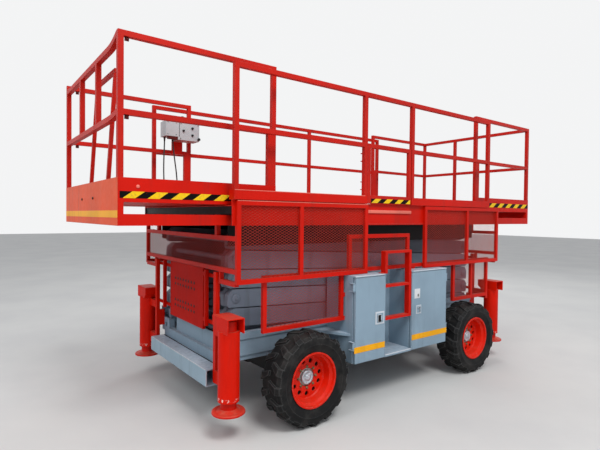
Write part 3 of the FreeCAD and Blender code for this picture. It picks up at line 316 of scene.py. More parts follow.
def metal(name, colour, roughness, metallic=1.0):
    """Bare or plated metal with a fine grain and smears."""
    scale = 40.0
    s = Shader(name, roughness, metallic)
    grain = s.noise(scale, 6.0, 0.6)
    shade = s.mix(s.ramp(grain, 0.3, 0.75), colour, tuple(0.72 * c for c in colour))
    s.bump(s.noise(scale * 6, 2.0), 0.12, 0.0004, 0.0015)
    return s.finish(shade, s.math("ADD", roughness - 0.05, s.math("MULTIPLY", grain, 0.2)))


def rubber():
    """Tyre rubber: black in the grooves, with pale dust on the tread and scuffs on the walls."""
    s = Shader("tyre_rubber", 0.82, shine=0.20)
    dust = s.ramp(s.noise(6.5, 5.0, 0.65), 0.42, 0.75)
    fine = s.noise(90.0, 4.0)
    colour = s.mix(s.math("MULTIPLY", dust, 0.36), (0.055, 0.057, 0.062), (0.30, 0.29, 0.28))
    colour = s.mix(s.math("MULTIPLY", s.edges(0.012), 0.70), colour, (0.31, 0.31, 0.31))
    s.bump(fine, 0.25, 0.0012, 0.006)
    return s.finish(colour, s.math("ADD", 0.7, s.math("MULTIPLY", dust, 0.2)))


def plain_rubber():
    """Cable and boot rubber."""
    s = Shader("cable_rubber", 0.5)
    fine = s.noise(160.0, 3.0)
    colour = s.mix(s.ramp(fine, 0.35, 0.7), (0.045, 0.045, 0.05), (0.13, 0.13, 0.135))
    s.bump(fine, 0.15, 0.0004)
    return s.finish(colour)


RED = paint("red_paint", red, red_faded_sheen, top_fade_sheen=0.75)
RED_RAIL = paint("red_rail_paint", (0.74, 0.11, 0.06), (0.74, 0.36, 0.34), top_fade_sheen=0.7, chips=0.6, edge=0.003)
HOUSING = paint("outrigger_paint", (0.84, 0.09, 0.005), red_faded_sheen, top_fade_sheen=0.75, scuff=scuffed_z, shine=0.10)
# Painted shade: a darker red for the end screens, which lie in the shadow of the decks above
SHADED_SCREEN = paint("screen_painted_shade", (0.75, 0.06, 0.003), (0.72, 0.26, 0.20), top_fade_sheen=0.7, dirt=0.25, shine=0.04)
BUMPER = paint("bumper_paint", (0.61, 0.705, 0.765), (0.78, 0.82, 0.86), top_fade_sheen=0.6, chips=0.9, edge=0.007)
RED_MESH = paint("red_mesh_paint", (0.72, 0.22, 0.17), red_faded_sheen, top_fade_sheen=0.3, chips=0.3, edge=0.001)
# Painted sunlight: a paler red for the lit front face of the roll-out deck
SUNLIT_RED = paint("painted_sunlight_red", (0.90, 0.31, 0.10), (0.93, 0.52, 0.36), top_fade_sheen=0.6)
# Painted highlight: pale pink for the lit edges along the deck, the guard and the ledge under the gate; the
# round toe bolts take it too
HIGHLIGHT_PINK = paint("painted_highlight_pink", (0.90, 0.46, 0.40), (0.94, 0.60, 0.54), top_fade_sheen=0.6)
RIM = paint("rim_paint", (0.86, 0.12, 0.03), red_faded_sheen, top_fade_sheen=0.3, chips=0.8, dirt=0.25, roughness=0.3,
            edge=0.006)
BLUE = paint("blue_grey_paint", grey_blue, (0.72, 0.76, 0.80), top_fade_sheen=0.6, chips=0.7, dirt=0.25, edge=0.006)
# Pale edge paint: wear on the latch frames and the door roofs, and painted highlight along the bumpers'
# edges
WORN_AND_HIGHLIGHT_EDGE = paint("worn_and_highlight_edge_paint", (0.80, 0.83, 0.86), (0.90, 0.91, 0.92), top_fade_sheen=0.5, chips=0.2)
ARM = paint("arm_paint", grey_arm, (0.46, 0.48, 0.52), top_fade_sheen=0.5, chips=0.3, dirt=0.4)
# Painted shade: a darker copy of the arm paint for the top arm pair, which lies in the deck's shade
SHADED_TOP_ARM = paint("top_arm_painted_shade", (0.36, 0.39, 0.43), (0.38, 0.40, 0.44), top_fade_sheen=0.5, chips=0.3, dirt=0.4)
# The decks' red, with painted shade under them
DECK = paint("deck_paint", red, red_faded_sheen, top_fade_sheen=0.75, inner=under_deck_shade)
ROLL_OUT = paint("roll_out_deck_paint", red, red_faded_sheen, top_fade_sheen=0.75, inner=under_roll_out_deck_shade)
DARK = paint("dark_metal_paint", (0.115, 0.115, 0.12), (0.2, 0.2, 0.2), top_fade_sheen=0.5, dirt=0.5)
BOX = paint("box_paint", (0.70, 0.72, 0.73), (0.80, 0.81, 0.82), top_fade_sheen=0.5, dirt=0.3, inner=foot_of_box)
BAND = paint("door_band_paint", (0.97, 0.68, 0.08), (0.96, 0.76, 0.30), top_fade_sheen=0.4, dirt=0.3)
MAROON = paint("maroon_paint", (0.33, 0.07, 0.06), (0.42, 0.16, 0.14), top_fade_sheen=0.4, dirt=0.3)
WHITE = paint("white_plate_paint", (0.86, 0.87, 0.88), (0.92, 0.92, 0.92), top_fade_sheen=0.3, dirt=0.25)
# Painted shade: near-black for holes, gaps and recesses that lie in shade
PAINTED_SHADE = paint("painted_shade_dark", (0.05, 0.05, 0.055), (0.09, 0.09, 0.09), top_fade_sheen=0.2, dirt=0.1, chips=0.0)
CAP = metal("hub_cap_metal", (0.80, 0.83, 0.86), 0.40, metallic=0.6)
NUT = metal("rusty_nut_metal", (0.56, 0.46, 0.34), 0.5, metallic=0.7)
STEEL = metal("zinc_steel", (0.62, 0.62, 0.60), 0.38)
CHROME = metal("rod_chrome", (0.86, 0.86, 0.88), 0.12)
TYRE = rubber()
CABLE = plain_rubber()
HAZARD = {"front": stripes("front_hazard_stripes", period=0.165, start=5.205),
          "gate": stripes("gate_hazard_stripes", period=0.160, start=3.042),
          "rear": stripes("rear_hazard_stripes", period=0.190, start=0.839)}

slot_of = {row["node"]: row["material_slot"] for row in frame["record"]["subparts"]}
by_slot = {"tyre": TYRE, "arm_paint": ARM, "blue_grey_paint": BLUE, "rod_chrome": CHROME, "dark_metal": DARK,
           "box_grey": BOX, "cable_rubber": CABLE, "red_paint": RED}
by_node = {"rim_" + corner: RIM for corner in corners}
by_node |= {"platform_rails": RED_RAIL, "front_extension_rails": RED_RAIL, "rear_extension_rails": RED_RAIL,
            "hoop": RED_RAIL, "gate": RED_RAIL, "outer_arm_5": SHADED_TOP_ARM, "inner_arm_5": SHADED_TOP_ARM,
            "platform_deck": DECK, "front_extension_deck": ROLL_OUT, "rear_extension_deck": ROLL_OUT,
            "outrigger_housings": HOUSING, "end_screens": SHADED_SCREEN, "bumpers": BUMPER}


def dress_nodes():
    """Gives every CAD node its paint or rubber."""
    for name, obj in nodes.items():
        material = by_node.get(name) or by_slot[slot_of[name]]
        obj.data.materials.clear()
        obj.data.materials.append(material)


dress_nodes()


# Meshes

def make(name, bm, material, body, smooth=False):
    """A new piece from a bmesh, with one material or a tuple of them, riding on a body."""
    mesh = bpy.data.meshes.new(name)
    bm.normal_update()
    bm.to_mesh(mesh)
    bm.free()
    obj = bpy.data.objects.new(name, mesh)
    scene.collection.objects.link(obj)
    for each in material if isinstance(material, tuple) else (material,):
        mesh.materials.append(each)
    if smooth:
        for polygon in mesh.polygons:
            polygon.use_smooth = True
    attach(obj, body)
    return obj


def add_box(bm, low, high, bevel=0.0, material=0):
    """A block between two corners, with bevelled edges."""
    low, high = Vector(map(min, low, high)), Vector(map(max, low, high))
    made = bmesh.ops.create_cube(bm, size=1.0, matrix=Matrix.LocRotScale((low + high) / 2, None, high - low))
    faces = {f for v in made["verts"] for f in v.link_faces}
    for face in faces:
        face.material_index = material
    if bevel:
        edges = list({e for f in faces for e in f.edges})
        bmesh.ops.bevel(bm, geom=edges, offset=bevel, segments=2, profile=0.6, affect="EDGES")
    return bm


def add_turned(bm, profile, centre, axis, segments=24, material=0):
    """A profile of (radius, place along the axis) points turned about an axis."""
    rotation = Vector((0, 0, 1)).rotation_difference(Vector(axis)).to_matrix()
    rings = []
    for radius, along in profile:
        ring = []
        for index in range(segments):
            turn = 2 * math.pi * index / segments
            point = Vector((radius * math.cos(turn), radius * math.sin(turn), along))
            ring.append(bm.verts.new(Vector(centre) + rotation @ point))
        rings.append(ring)
    for a, b in zip(rings, rings[1:]):
        for index in range(segments):
            other = (index + 1) % segments
            face = bm.faces.new((a[index], a[other], b[other], b[index]))
            face.material_index = material
            face.smooth = True
    for ring, flip in ((rings[0], True), (rings[-1], False)):
        face = bm.faces.new(list(reversed(ring)) if flip else ring)
        face.material_index = material
    return bm


def bolt_profile(radius, height):
    """The outline of a hexagon head over a washer."""
    washer = 0.18 * height
    return [(1.35 * radius, 0.0), (1.35 * radius, washer), (radius, washer), (radius, 0.85 * height),
            (0.82 * radius, height)]


def add_bolt(bm, centre, axis, radius, height, material=0):
    """A hexagon head on its washer."""
    add_turned(bm, bolt_profile(radius, height), centre, axis, 6, material)


# Camera

def add_camera():
    """The photograph's own view: yaw from +X, pitch above the horizon and roll about the line of sight."""
    level = math.cos(camera_pitch)
    forward = Vector((level * math.cos(camera_yaw), level * math.sin(camera_yaw), math.sin(camera_pitch)))
    right = forward.cross(Vector((0, 0, 1))).normalized()
    up = right.cross(forward)
    x = right * math.cos(camera_roll) + up * math.sin(camera_roll)
    y = up * math.cos(camera_roll) - right * math.sin(camera_roll)
    turn = Matrix((x, y, -forward)).transposed().to_4x4()
    data = bpy.data.cameras.new("camera")
    data.lens = camera_lens
    data.sensor_width = 36.0
    data.clip_end = 200.0
    camera = bpy.data.objects.new("camera", data)
    camera.matrix_world = Matrix.Translation(camera_at) @ turn
    scene.collection.objects.link(camera)
    scene.camera = camera


# Cables

def add_cable(index, route):
    """One free cable as a smooth spline along its route."""
    curve = bpy.data.curves.new("cable_%d" % (index + 1), "CURVE")
    curve.dimensions = "3D"
    spline = curve.splines.new("NURBS")
    spline.points.add(len(route) - 1)
    for point, (x, y, z) in zip(spline.points, route):
        point.co = (x + middle_x, y, z, 1.0)
    spline.order_u = 3
    spline.use_endpoint_u = True
    spline.resolution_u = 16
    curve.bevel_depth = cable_d / 2
    curve.bevel_resolution = 4
    curve.use_fill_caps = True
    curve.materials.append(CABLE)
    cable = bpy.data.objects.new("cable_%d" % (index + 1), curve)
    scene.collection.objects.link(cable)
    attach(cable, "front_extension")
    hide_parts("control_cables")
    start, after = Vector(route[0]), Vector(route[1])
    relief = bmesh.new()
    down = (after - start).normalized()
    profile = [(0.0135, -0.002), (0.0135, 0.006), (0.0115, 0.008), (0.0115, 0.016), (0.0100, 0.018),
               (0.0100, 0.026), (0.0088, 0.028), (0.0082, 0.042), (0.0074, 0.046)]
    add_turned(relief, profile, place(*start), down, 20)
    boot = make("cable_relief_%d" % (index + 1), relief, CABLE, "front_extension")


# Expanded metal

def add_strands(bm, low, high, flat):
    """Zigzag ribbons that fill an upright bay, whose thin axis is 0 for X or 1 for Y."""
    along = 1 - flat
    middle = (low[flat] + high[flat]) / 2
    columns = max(2, round((high[along] - low[along]) / cell[0]) * 2)
    rows = max(2, round((high.z - low.z) / cell[1]))
    step = ((high[along] - low[along]) / columns, (high.z - low.z) / rows)
    for row in range(rows + 1):
        previous = None
        for column in range(columns + 1):
            way = 1 if (column + row) % 2 else -1
            height = low.z + row * step[1] + way * step[1] / 2
            height = min(max(height, low.z), high.z)
            ring = []
            for up, out in ((1, 1), (-1, 1), (-1, -1), (1, -1)):
                point = Vector((0.0, 0.0, height + up * strand_w / 2))
                point[along] = low[along] + column * step[0]
                point[flat] = middle + way * strand_sway + out * strand_t / 2
                ring.append(bm.verts.new(point))
            if previous:
                for i in range(4):
                    j = (i + 1) % 4
                    bm.faces.new((previous[i], previous[j], ring[j], ring[i]))
            previous = ring


def solids_of(node):
    """The low and high corner of each separate solid of a node."""
    bm = bmesh.new()
    bm.from_mesh(nodes[node].data)
    bmesh.ops.remove_doubles(bm, verts=bm.verts, dist=1e-5)
    seen = set()
    spans = []
    for vert in bm.verts:
        if vert.index in seen:
            continue
        seen.add(vert.index)
        waiting, group = [vert], []
        while waiting:
            current = waiting.pop()
            group.append(current.co.copy())
            for edge in current.link_edges:
                other = edge.other_vert(current)
                if other.index not in seen:
                    seen.add(other.index)
                    waiting.append(other)
        low = Vector([min(point[i] for point in group) for i in range(3)])
        high = Vector([max(point[i] for point in group) for i in range(3)])
        spans.append((low, high))
    bm.free()
    return spans


def expand(node, body, piece):
    """Replaces a coarse sheet node by fine expanded metal in the same bays, a piece for each side."""
    groups = {}
    for low, high in solids_of(node):
        size = high - low
        if size.y < size.x:
            key = "left" if low.y > 0 else "right"
        else:
            key = "front" if low.x > 0 else "rear"
        groups.setdefault(key, []).append((low, high))
    for key, bays in sorted(groups.items()):
        bm = bmesh.new()
        for low, high in bays:
            add_strands(bm, low, high, 1 if key in ("left", "right") else 0)
        bmesh.ops.recalc_face_normals(bm, faces=bm.faces)
        obj = make("%s_%s" % (piece, key), bm, RED_MESH, body)
        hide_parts(node)


# Wheels

def add_hub(corner):
    """A pale hub cap with a ring of nuts on a plated flange, and a near-black disc of painted shade behind
    the wheel disc's holes.
    """
    low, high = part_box("rim_" + corner)
    centre = (low + high) / 2
    axis = Vector((0, math.copysign(1, centre.y), 0))
    bm = bmesh.new()
    add_turned(bm, hub_flange, centre, axis, 40, 1)
    add_turned(bm, hub_cap, centre, axis, 40)
    for index in range(hub_nuts):
        turn = 2 * math.pi * index / hub_nuts
        spoke = Vector((math.cos(turn), 0, math.sin(turn)))
        seat = centre + hub_nut_circle * spoke + hub_nut_seat * axis
        add_bolt(bm, seat, axis, hub_nut_r, hub_nut_height, 2)
    add_turned(bm, hub_shade_disc, centre, axis, 48, 3)
    obj = make("hub_cap_" + corner, bm, (CAP, STEEL, NUT, PAINTED_SHADE), "wheel_" + corner)


# The platform's stickers and edges

def add_hazard_bands():
    """Black and yellow bands along the toe boards of the roll-out decks, on both sides."""
    front_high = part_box("front_extension_deck")[1]
    rear_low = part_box("rear_extension_deck")[0]
    deck_low, deck_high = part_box("platform_deck")
    inset, tucked = 0.012, (0.15, 0.02)
    spans = (("front", (deck_high.x - tucked[0], front_high.x - inset), (1.813, 1.859)),
             ("rear", (rear_low.x + inset, deck_low.x + tucked[1]), (1.838, 1.890)))
    for side, word in sides:
        face = side * front_high.y
        for end, x, z in spans:
            bm = bmesh.new()
            add_box(bm, (x[0], face, z[0]), (x[1], face + side * sticker, z[1]), sheet_round)
            make("hazard_band_%s_%s" % (end, word), bm, HAZARD[end], end + "_extension")


def add_gate_trim():
    """The gate's band, and the strip along its foot."""
    low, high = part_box("gate")
    band_x, band_z, face = (low.x + 0.012, high.x - 0.055), (1.834, 1.873), 1.0075
    foot_x, foot_y, foot_z = (low.x + 0.004, high.x - 0.004), (0.988, 1.004), (1.8258, 1.8330)
    bm = bmesh.new()
    add_box(bm, (band_x[0], face, band_z[0]), (band_x[1], face + sticker, band_z[1]), sheet_round)
    make("hazard_band_gate", bm, HAZARD["gate"], "gate")
    bm = bmesh.new()
    add_box(bm, (foot_x[0], foot_y[0], foot_z[0]), (foot_x[1], foot_y[1], foot_z[1]), 0.001)
    make("gate_foot_strip", bm, RED_RAIL, "gate")


def add_deck_edges():
    """The ledge and the lower lip of the deck's left side under the gate, with painted highlights: the ledge
    pale pink, and pale strips along the top edges of the deck band and the guard beside them.
    """
    gate_low, gate_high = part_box("gate")
    deck_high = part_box("platform_deck")[1]
    guard_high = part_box("platform_guards")[1]
    opening = (place(-0.424, 0, 0).x, place(0.404, 0, 0).x)
    web = 0.979
    ledge_z, lip_z = (1.738, 1.768), (1.6275, 1.6440)
    deck_edge_z, guard_edge_z = (1.8930, 1.8985), (1.8130, 1.8186)
    bm = bmesh.new()
    add_box(bm, (gate_low.x - 0.03, web, ledge_z[0]), (gate_high.x + 0.01, web + 0.013, ledge_z[1]), 0.005)
    add_box(bm, (gate_high.x + 0.024, deck_high.y - 0.001, deck_edge_z[0]),
            (deck_high.x - 0.004, deck_high.y + 0.0009, deck_edge_z[1]), sheet_round)
    add_box(bm, (opening[1] + 0.004, guard_high.y - 0.0005, guard_edge_z[0]),
            (guard_high.x - 0.004, guard_high.y + 0.0009, guard_edge_z[1]), sheet_round)
    # Pale pink strips and ledge, as painted highlight
    make("deck_sill_highlights", bm, HIGHLIGHT_PINK, "platform")
    bm = bmesh.new()
    add_box(bm, (opening[0] + 0.002, web, lip_z[0]), (opening[1] - 0.002, web + 0.009, lip_z[1]), 0.003)
    make("deck_lip", bm, RED_RAIL, "platform")


def add_front_end():
    """The front of the roll-out deck, pale in painted sunlight, with its yellow band, two small screws and
    round toe bolts.
    """
    low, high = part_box("front_extension_deck")
    band_z, screw_y, screw_z = (1.682, 1.730), (-0.175, 0.203), 1.826
    toe_bolt = [(0.012, -0.001), (0.012, 0.004), (0.009, 0.007), (0.003, 0.008)]
    toe_bolt_x, toe_bolt_y, toe_bolt_z = 2.458, 0.872, 1.893
    face, band_face = high.x + 0.0008, high.x + 0.0016
    # A pale sheet over the front face, as painted sunlight
    bm = bmesh.new()
    add_box(bm, (high.x, low.y + 0.001, low.z + 0.002), (face, high.y - 0.001, high.z - 0.001), 0.0003)
    make("front_end_face", bm, SUNLIT_RED, "front_extension")
    bm = bmesh.new()
    add_box(bm, (face - 0.0002, low.y + 0.002, band_z[0]), (band_face, high.y - 0.002, band_z[1]), 0.0003)
    make("front_end_band", bm, BAND, "front_extension")
    bm = bmesh.new()
    for y in screw_y:
        add_bolt(bm, (high.x, y, screw_z), (1, 0, 0), 0.009, 0.008)
    for side, _ in sides:
        add_turned(bm, toe_bolt, place(toe_bolt_x, side * toe_bolt_y, toe_bolt_z), (0, side, 0), 20, 1)
    make("front_end_screws", bm, (DARK, HIGHLIGHT_PINK), "front_extension")


def add_rail_tabs():
    """Small dark lock tabs with a bolt, under the joints of the front rails."""
    rail_foot_z = (2.883, 2.366)
    half, height, overlap = (0.014, 0.006), 0.026, 0.002
    bm = bmesh.new()
    for x, y in ((2.528, 0.850), (2.498, -0.850)):
        for under in rail_foot_z:
            add_box(bm, place(x - half[0], y - half[1], under - height),
                    place(x + half[0], y + half[1], under + overlap), 0.002)
            add_bolt(bm, place(x, y + half[1], under - height / 2), (0, 1, 0), 0.006, 0.006)
    make("rail_tabs", bm, MAROON, "front_extension")


# Cabinet doors

def add_door_bands():
    """A yellow band along the foot of each door, up to the well between them."""
    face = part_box("cabinet_left")[1].y
    band_z, gap, inset = (0.499, 0.553), 0.002, 0.012
    for side, word in sides:
        for end in ("front", "rear"):
            name = "%s_%s" % (word, end)
            low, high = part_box("door_" + name)
            x = (low.x + gap, high.x - inset) if end == "front" else (low.x + inset, high.x - gap)
            bm = bmesh.new()
            add_box(bm, (x[0], side * face, band_z[0]), (x[1], side * (face + band_skin), band_z[1]),
                    sheet_round)
            make("door_band_" + name, bm, BAND, "door_" + name)


def add_fittings(name, body, side, spot, blocks, materials):
    """A latch or plate on a door's face, in one piece, around a spot (x, z) of the face.

    Each block has its spans along X and up from the spot, how far it stands proud from and to, its rounding
    and the index of its material."""
    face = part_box("cabinet_left")[1].y
    bm = bmesh.new()
    for x, z, proud, rounding, material in blocks:
        add_box(bm, place(spot[0] + x[0], side * (face + proud[0]), spot[1] + z[0]),
                place(spot[0] + x[1], side * (face + proud[1]), spot[1] + z[1]), rounding, material)
    make(name, bm, materials, body)


def add_door_fittings():
    """Recessed latches with their frames and levers, and a blank plate, which swing with the doors."""
    # The front latch's near-black block is painted shade in its recess
    add_fittings("door_latch_front", "door_left_front", 1, (0.336, 0.780), (
        ((-0.058, 0.058), (-0.058, 0.058), (-0.0010, 0.0035), 0.003, 0),
        ((-0.044, 0.044), (-0.044, 0.044), (0.0030, 0.0045), 0.001, 1),
        ((-0.014, 0.034), (-0.038, 0.032), (0.0030, 0.0120), 0.003, 2),
        ((-0.020, -0.006), (-0.020, 0.020), (0.0040, 0.0160), 0.003, 1),
    ), (WORN_AND_HIGHLIGHT_EDGE, BLUE, PAINTED_SHADE))
    add_fittings("door_plate_rear", "door_left_rear", 1, (-0.194, 0.953), (
        ((-0.042, 0.042), (-0.047, 0.047), (-0.0010, 0.0020), 0.001, 0),
        ((-0.022, 0.002), (-0.031, -0.001), (0.0015, 0.0065), 0.002, 1),
    ), (WHITE, STEEL))
    add_fittings("door_latch_rear", "door_left_rear", 1, (-0.217, 0.795), (
        ((-0.039, 0.039), (-0.043, 0.043), (-0.0010, 0.0035), 0.003, 0),
        ((-0.031, 0.029), (-0.033, 0.033), (0.0030, 0.0048), 0.001, 1),
        ((-0.019, 0.021), (0.011, 0.025), (0.0040, 0.0140), 0.003, 2),
        ((-0.015, -0.005), (-0.027, 0.005), (0.0040, 0.0100), 0.002, 2),
    ), (WORN_AND_HIGHLIGHT_EDGE, BLUE, DARK))
    for end, x in (("front", 0.090), ("rear", -0.130)):
        add_fittings("door_latch_right_" + end, "door_right_" + end, -1, (x, 0.785), (
            ((-0.045, 0.045), (-0.050, 0.050), (-0.0010, 0.0035), 0.003, 0),
            ((-0.030, 0.030), (-0.035, 0.015), (0.0030, 0.0120), 0.004, 1),
        ), (BLUE, DARK))


# Control box

def add_box_parts():
    """Knobs, screws, a plug, the lid's seam and the bracket under it on the control box."""
    face = -0.659
    out = (0, 1, 0)
    knob = [(0.012, 0.0), (0.012, 0.010), (0.009, 0.020), (0.004, 0.023)]
    plug = [(0.012, -0.002), (0.012, 0.012), (0.016, 0.014), (0.016, 0.022), (0.004, 0.025)]
    knobs = ((1.40, 2.560), (1.40, 2.635), (1.50, 2.600))
    plug_at = (1.330, 2.522)
    screws = ((1.335, 2.675), (1.530, 2.515), (1.530, 2.675))
    lid_screws = ((1.58, 2.550), (1.67, 2.550), (1.58, 2.675), (1.67, 2.675))
    seam_x, seam_z = (1.5430, 1.5480), (2.532, 2.688)
    bracket_x, bracket_y, bracket_z = (1.560, 1.665), (face - 0.040, face - 0.002), (2.500, 2.5302)
    bm = bmesh.new()
    for x, z in knobs:
        add_turned(bm, knob, place(x, face, z), out, 16)
    for x, z in screws:
        add_bolt(bm, place(x, face, z), out, 0.006, 0.005, 1)
    for x, z in lid_screws:
        add_bolt(bm, place(x, face, z), out, 0.005, 0.004, 1)
    add_box(bm, place(seam_x[0], face - 0.001, seam_z[0]), place(seam_x[1], face + 0.0012, seam_z[1]),
            sheet_round)
    add_turned(bm, plug, place(plug_at[0], face, plug_at[1]), out, 20)
    add_box(bm, place(bracket_x[0], bracket_y[0], bracket_z[0]),
            place(bracket_x[1], bracket_y[1], bracket_z[1]), 0.002, 2)
    make("control_box_knobs", bm, (DARK, STEEL, MAROON), "front_extension")


def add_joystick():
    """The folded rubber boot on top of the control box, and the grip on it."""
    foot = place(1.48, -0.739, 2.690)
    up = (0, 0, 1)
    folds = [(0.036, 0.0), (0.036, 0.006), (0.026, 0.010), (0.031, 0.018), (0.022, 0.024), (0.026, 0.031),
             (0.017, 0.038), (0.0135, 0.048)]
    grip = [(0.0135, 0.046), (0.021, 0.050), (0.0235, 0.060), (0.0205, 0.072), (0.012, 0.0775),
            (0.003, 0.079)]
    for name, outline, material in (("joystick_boot", folds, CABLE), ("joystick_grip", grip, DARK)):
        bm = bmesh.new()
        add_turned(bm, outline, foot, up, 24)
        make(name, bm, material, "front_extension", smooth=True)


# Scissor stack

def add_pin_caps():
    """Round caps with a keeper bolt on the pins of each arm pair, outside the outer arms.

    The first pivot, the arms' length and the height of a folded stage are the stack's own."""
    stages, arm_length, pitch = 5, 3.2, 0.160
    rear_x, base_z = -1.6, 0.700
    front_x = rear_x + math.sqrt(arm_length ** 2 - pitch ** 2)
    outer_face = 0.680
    cap = [(0.040, -0.0005), (0.040, 0.007), (0.036, 0.010), (0.002, 0.010)]
    cap_height = cap[-1][1]
    for stage in range(1, stages + 1):
        low, high = base_z + pitch * (stage - 1), base_z + pitch * stage
        spots = [((rear_x + front_x) / 2, (low + high) / 2)]
        if stage > 1:
            spots.append((rear_x, low))
        if stage < stages:
            spots.append((front_x, high))
        bm = bmesh.new()
        for x, z in spots:
            for side, _ in sides:
                add_turned(bm, cap, place(x, side * outer_face, z), (0, side, 0), 28)
                add_bolt(bm, place(x, side * (outer_face + cap_height), z), (0, side, 0), 0.012, 0.010)
        # The top stage's caps take the top arms' painted shade
        make("pin_caps_%d" % stage, bm, SHADED_TOP_ARM if stage == stages else ARM, "outer_%d" % stage)


# Chassis

def add_screen_shades():
    """Painted shade in the small holes of both end screens: dark plugs in the holes, under dark discs a
    little wider than the holes on the plates' faces.
    """
    rows = (0.839, 0.891, 1.044, 1.098)
    columns, pitch, middle = 8, 0.062, -0.030
    plate_width = 0.7
    shade = [(0.0098, -0.0035), (0.0098, -0.0004), (0.0140, -0.0004), (0.0140, 0.0004)]
    for low, high in solids_of("end_screens"):
        if high.y - low.y < plate_width:
            continue
        word, face, end = ("front", high.x, 1) if low.x > 0 else ("rear", low.x, -1)
        bm = bmesh.new()
        for z in rows:
            for column in range(columns):
                y = middle + (column - (columns - 1) / 2) * pitch
                add_turned(bm, shade, (face, y, z), (end, 0, 0), 16)
        make("screen_shades_" + word, bm, PAINTED_SHADE, "chassis")


def add_bumper_details():
    """Painted shade in the gap behind each bumper's top, and painted highlights along the edges of its front
    and its ends.
    """
    low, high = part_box("bumpers")
    depth, gap_shade, half, skin, wear_and_highlight = 0.136, 0.012, 0.628, 0.0006, 0.005
    # Near-black strips over the gaps behind the bumpers' tops, as painted shade
    bm = bmesh.new()
    for x in (high.x - depth, low.x + depth - gap_shade):
        add_box(bm, (x, -half, high.z - 0.001), (x + gap_shade, half, high.z + 0.0008), 0.0003)
    make("bumper_gap_shades", bm, PAINTED_SHADE, "chassis")
    # Pale strips along the bumpers' edges, as painted highlight
    bm = bmesh.new()
    for x, end in ((high.x, 1), (low.x, -1)):
        add_box(bm, (x - end * wear_and_highlight, -half, high.z - wear_and_highlight), (x + end * skin, half, high.z + skin),
                sheet_round)
        for side, _ in sides:
            y = side * high.y
            add_box(bm, (x - end * wear_and_highlight, y - side * wear_and_highlight, low.z + wear_and_highlight),
                    (x + end * skin, y + side * skin, high.z - wear_and_highlight), sheet_round)
    make("bumper_edge_highlights", bm, WORN_AND_HIGHLIGHT_EDGE, "chassis")


def add_worn_edges():
    """Paint worn pale along the roof over the left doors and along the well's floor."""
    low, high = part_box("cabinet_left")
    face = high.y
    proud = face + worn_skin
    floor_z = low.z + 0.020
    bm = bmesh.new()
    for name in ("door_left_front", "door_left_rear"):
        door_low, door_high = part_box(name)
        add_box(bm, (door_low.x + 0.02, face - 0.002, high.z - 0.0075),
                (door_high.x - 0.02, face + band_skin, high.z + 0.0006), sheet_round)
    well = (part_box("door_left_rear")[1].x + 0.006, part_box("door_left_front")[0].x - 0.006)
    add_box(bm, (well[0], face - 0.012, floor_z - 0.0005), (well[1], proud, floor_z + 0.0006), 0.0003)
    add_box(bm, (well[0], face - 0.001, floor_z - 0.0055), (well[1], proud, floor_z), 0.0003)
    make("worn_edges_left", bm, WORN_AND_HIGHLIGHT_EDGE, "chassis")


# Floor and light

def add_floor():
    """A wide pale concrete floor."""
    half = 40.0
    bm = bmesh.new()
    bmesh.ops.create_grid(bm, x_segments=1, y_segments=1, size=half)
    mesh = bpy.data.meshes.new("floor")
    bm.to_mesh(mesh)
    bm.free()
    floor = bpy.data.objects.new("floor", mesh)
    scene.collection.objects.link(floor)
    s = Shader("floor_concrete", 0.75)
    tone = s.mix(s.ramp(s.noise(0.8, 5.0), 0.3, 0.7), (0.80, 0.80, 0.79), (0.77, 0.77, 0.765))
    s.bump(s.noise(35.0, 3.0), 0.08, 0.002)
    mesh.materials.append(s.finish(tone))


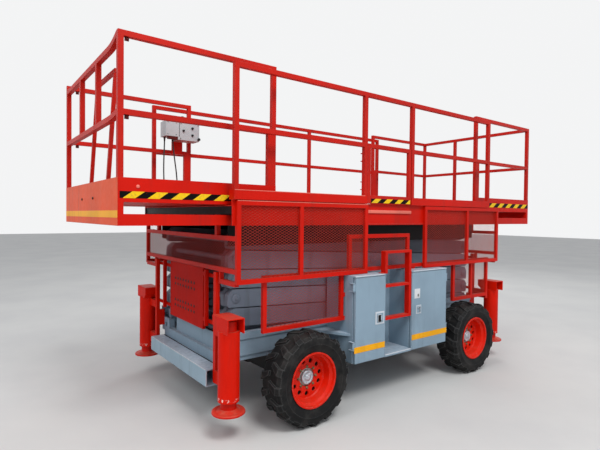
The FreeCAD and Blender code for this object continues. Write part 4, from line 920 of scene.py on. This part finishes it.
def add_world():
    """Soft daylight on the object, and a plain pale background where the camera or a reflection sees it."""
    world = bpy.data.worlds.new("studio")
    world.use_nodes = True
    tree = world.node_tree
    background = tree.nodes["Background"]
    background.inputs["Color"].default_value = (0.93, 0.95, 1.0, 1.0)
    background.inputs["Strength"].default_value = 0.60
    pale = tree.nodes.new("ShaderNodeBackground")
    pale.inputs["Color"].default_value = (0.90, 0.905, 0.91, 1.0)
    pale.inputs["Strength"].default_value = 1.0
    path = tree.nodes.new("ShaderNodeLightPath")
    seen = path.outputs["Is Camera Ray"]
    for ray in ("Is Glossy Ray", "Is Transmission Ray"):
        either = tree.nodes.new("ShaderNodeMath")
        either.operation = "MAXIMUM"
        tree.links.new(seen, either.inputs[0])
        tree.links.new(path.outputs[ray], either.inputs[1])
        seen = either.outputs[0]
    mix = tree.nodes.new("ShaderNodeMixShader")
    tree.links.new(seen, mix.inputs[0])
    tree.links.new(background.outputs[0], mix.inputs[1])
    tree.links.new(pale.outputs[0], mix.inputs[2])
    tree.links.new(mix.outputs[0], tree.nodes["World Output"].inputs["Surface"])
    scene.world = world


def add_light(name, position, aim, power, size):
    """A round area lamp that looks at a point."""
    data = bpy.data.lights.new(name, "AREA")
    data.shape = "DISK"
    data.energy = power
    data.size = size
    light = bpy.data.objects.new(name, data)
    light.location = position
    light.rotation_mode = "QUATERNION"
    light.rotation_quaternion = (Vector(aim) - Vector(position)).to_track_quat("-Z", "Y")
    scene.collection.objects.link(light)


def add_lights():
    """A large key lamp over the left side, a weak fill from the front and one from behind."""
    aim = (0.2, 0.3, 1.3)
    add_light("key", (2.2, 7.0, 9.5), aim, power=700.0, size=4.0)
    add_light("fill", (7.0, 2.0, 6.5), aim, power=200.0, size=5.0)
    add_light("back", (-7.0, -5.0, 7.5), aim, power=260.0, size=5.0)


add_camera()
for number, cable_route in enumerate(cable_routes):
    add_cable(number, cable_route)
for wheel in corners:
    add_hub(wheel)
add_hazard_bands()
add_gate_trim()
add_deck_edges()
add_bumper_details()
add_front_end()
add_door_bands()
add_door_fittings()
add_box_parts()
add_joystick()
add_pin_caps()
add_screen_shades()
add_worn_edges()
add_rail_tabs()
expand("platform_guard_mesh", "platform", "platform_expanded_metal")
expand("chassis_guard_mesh", "chassis", "chassis_expanded_metal")
add_floor()
add_world()
add_lights()
scene.view_settings.view_transform = "Standard"
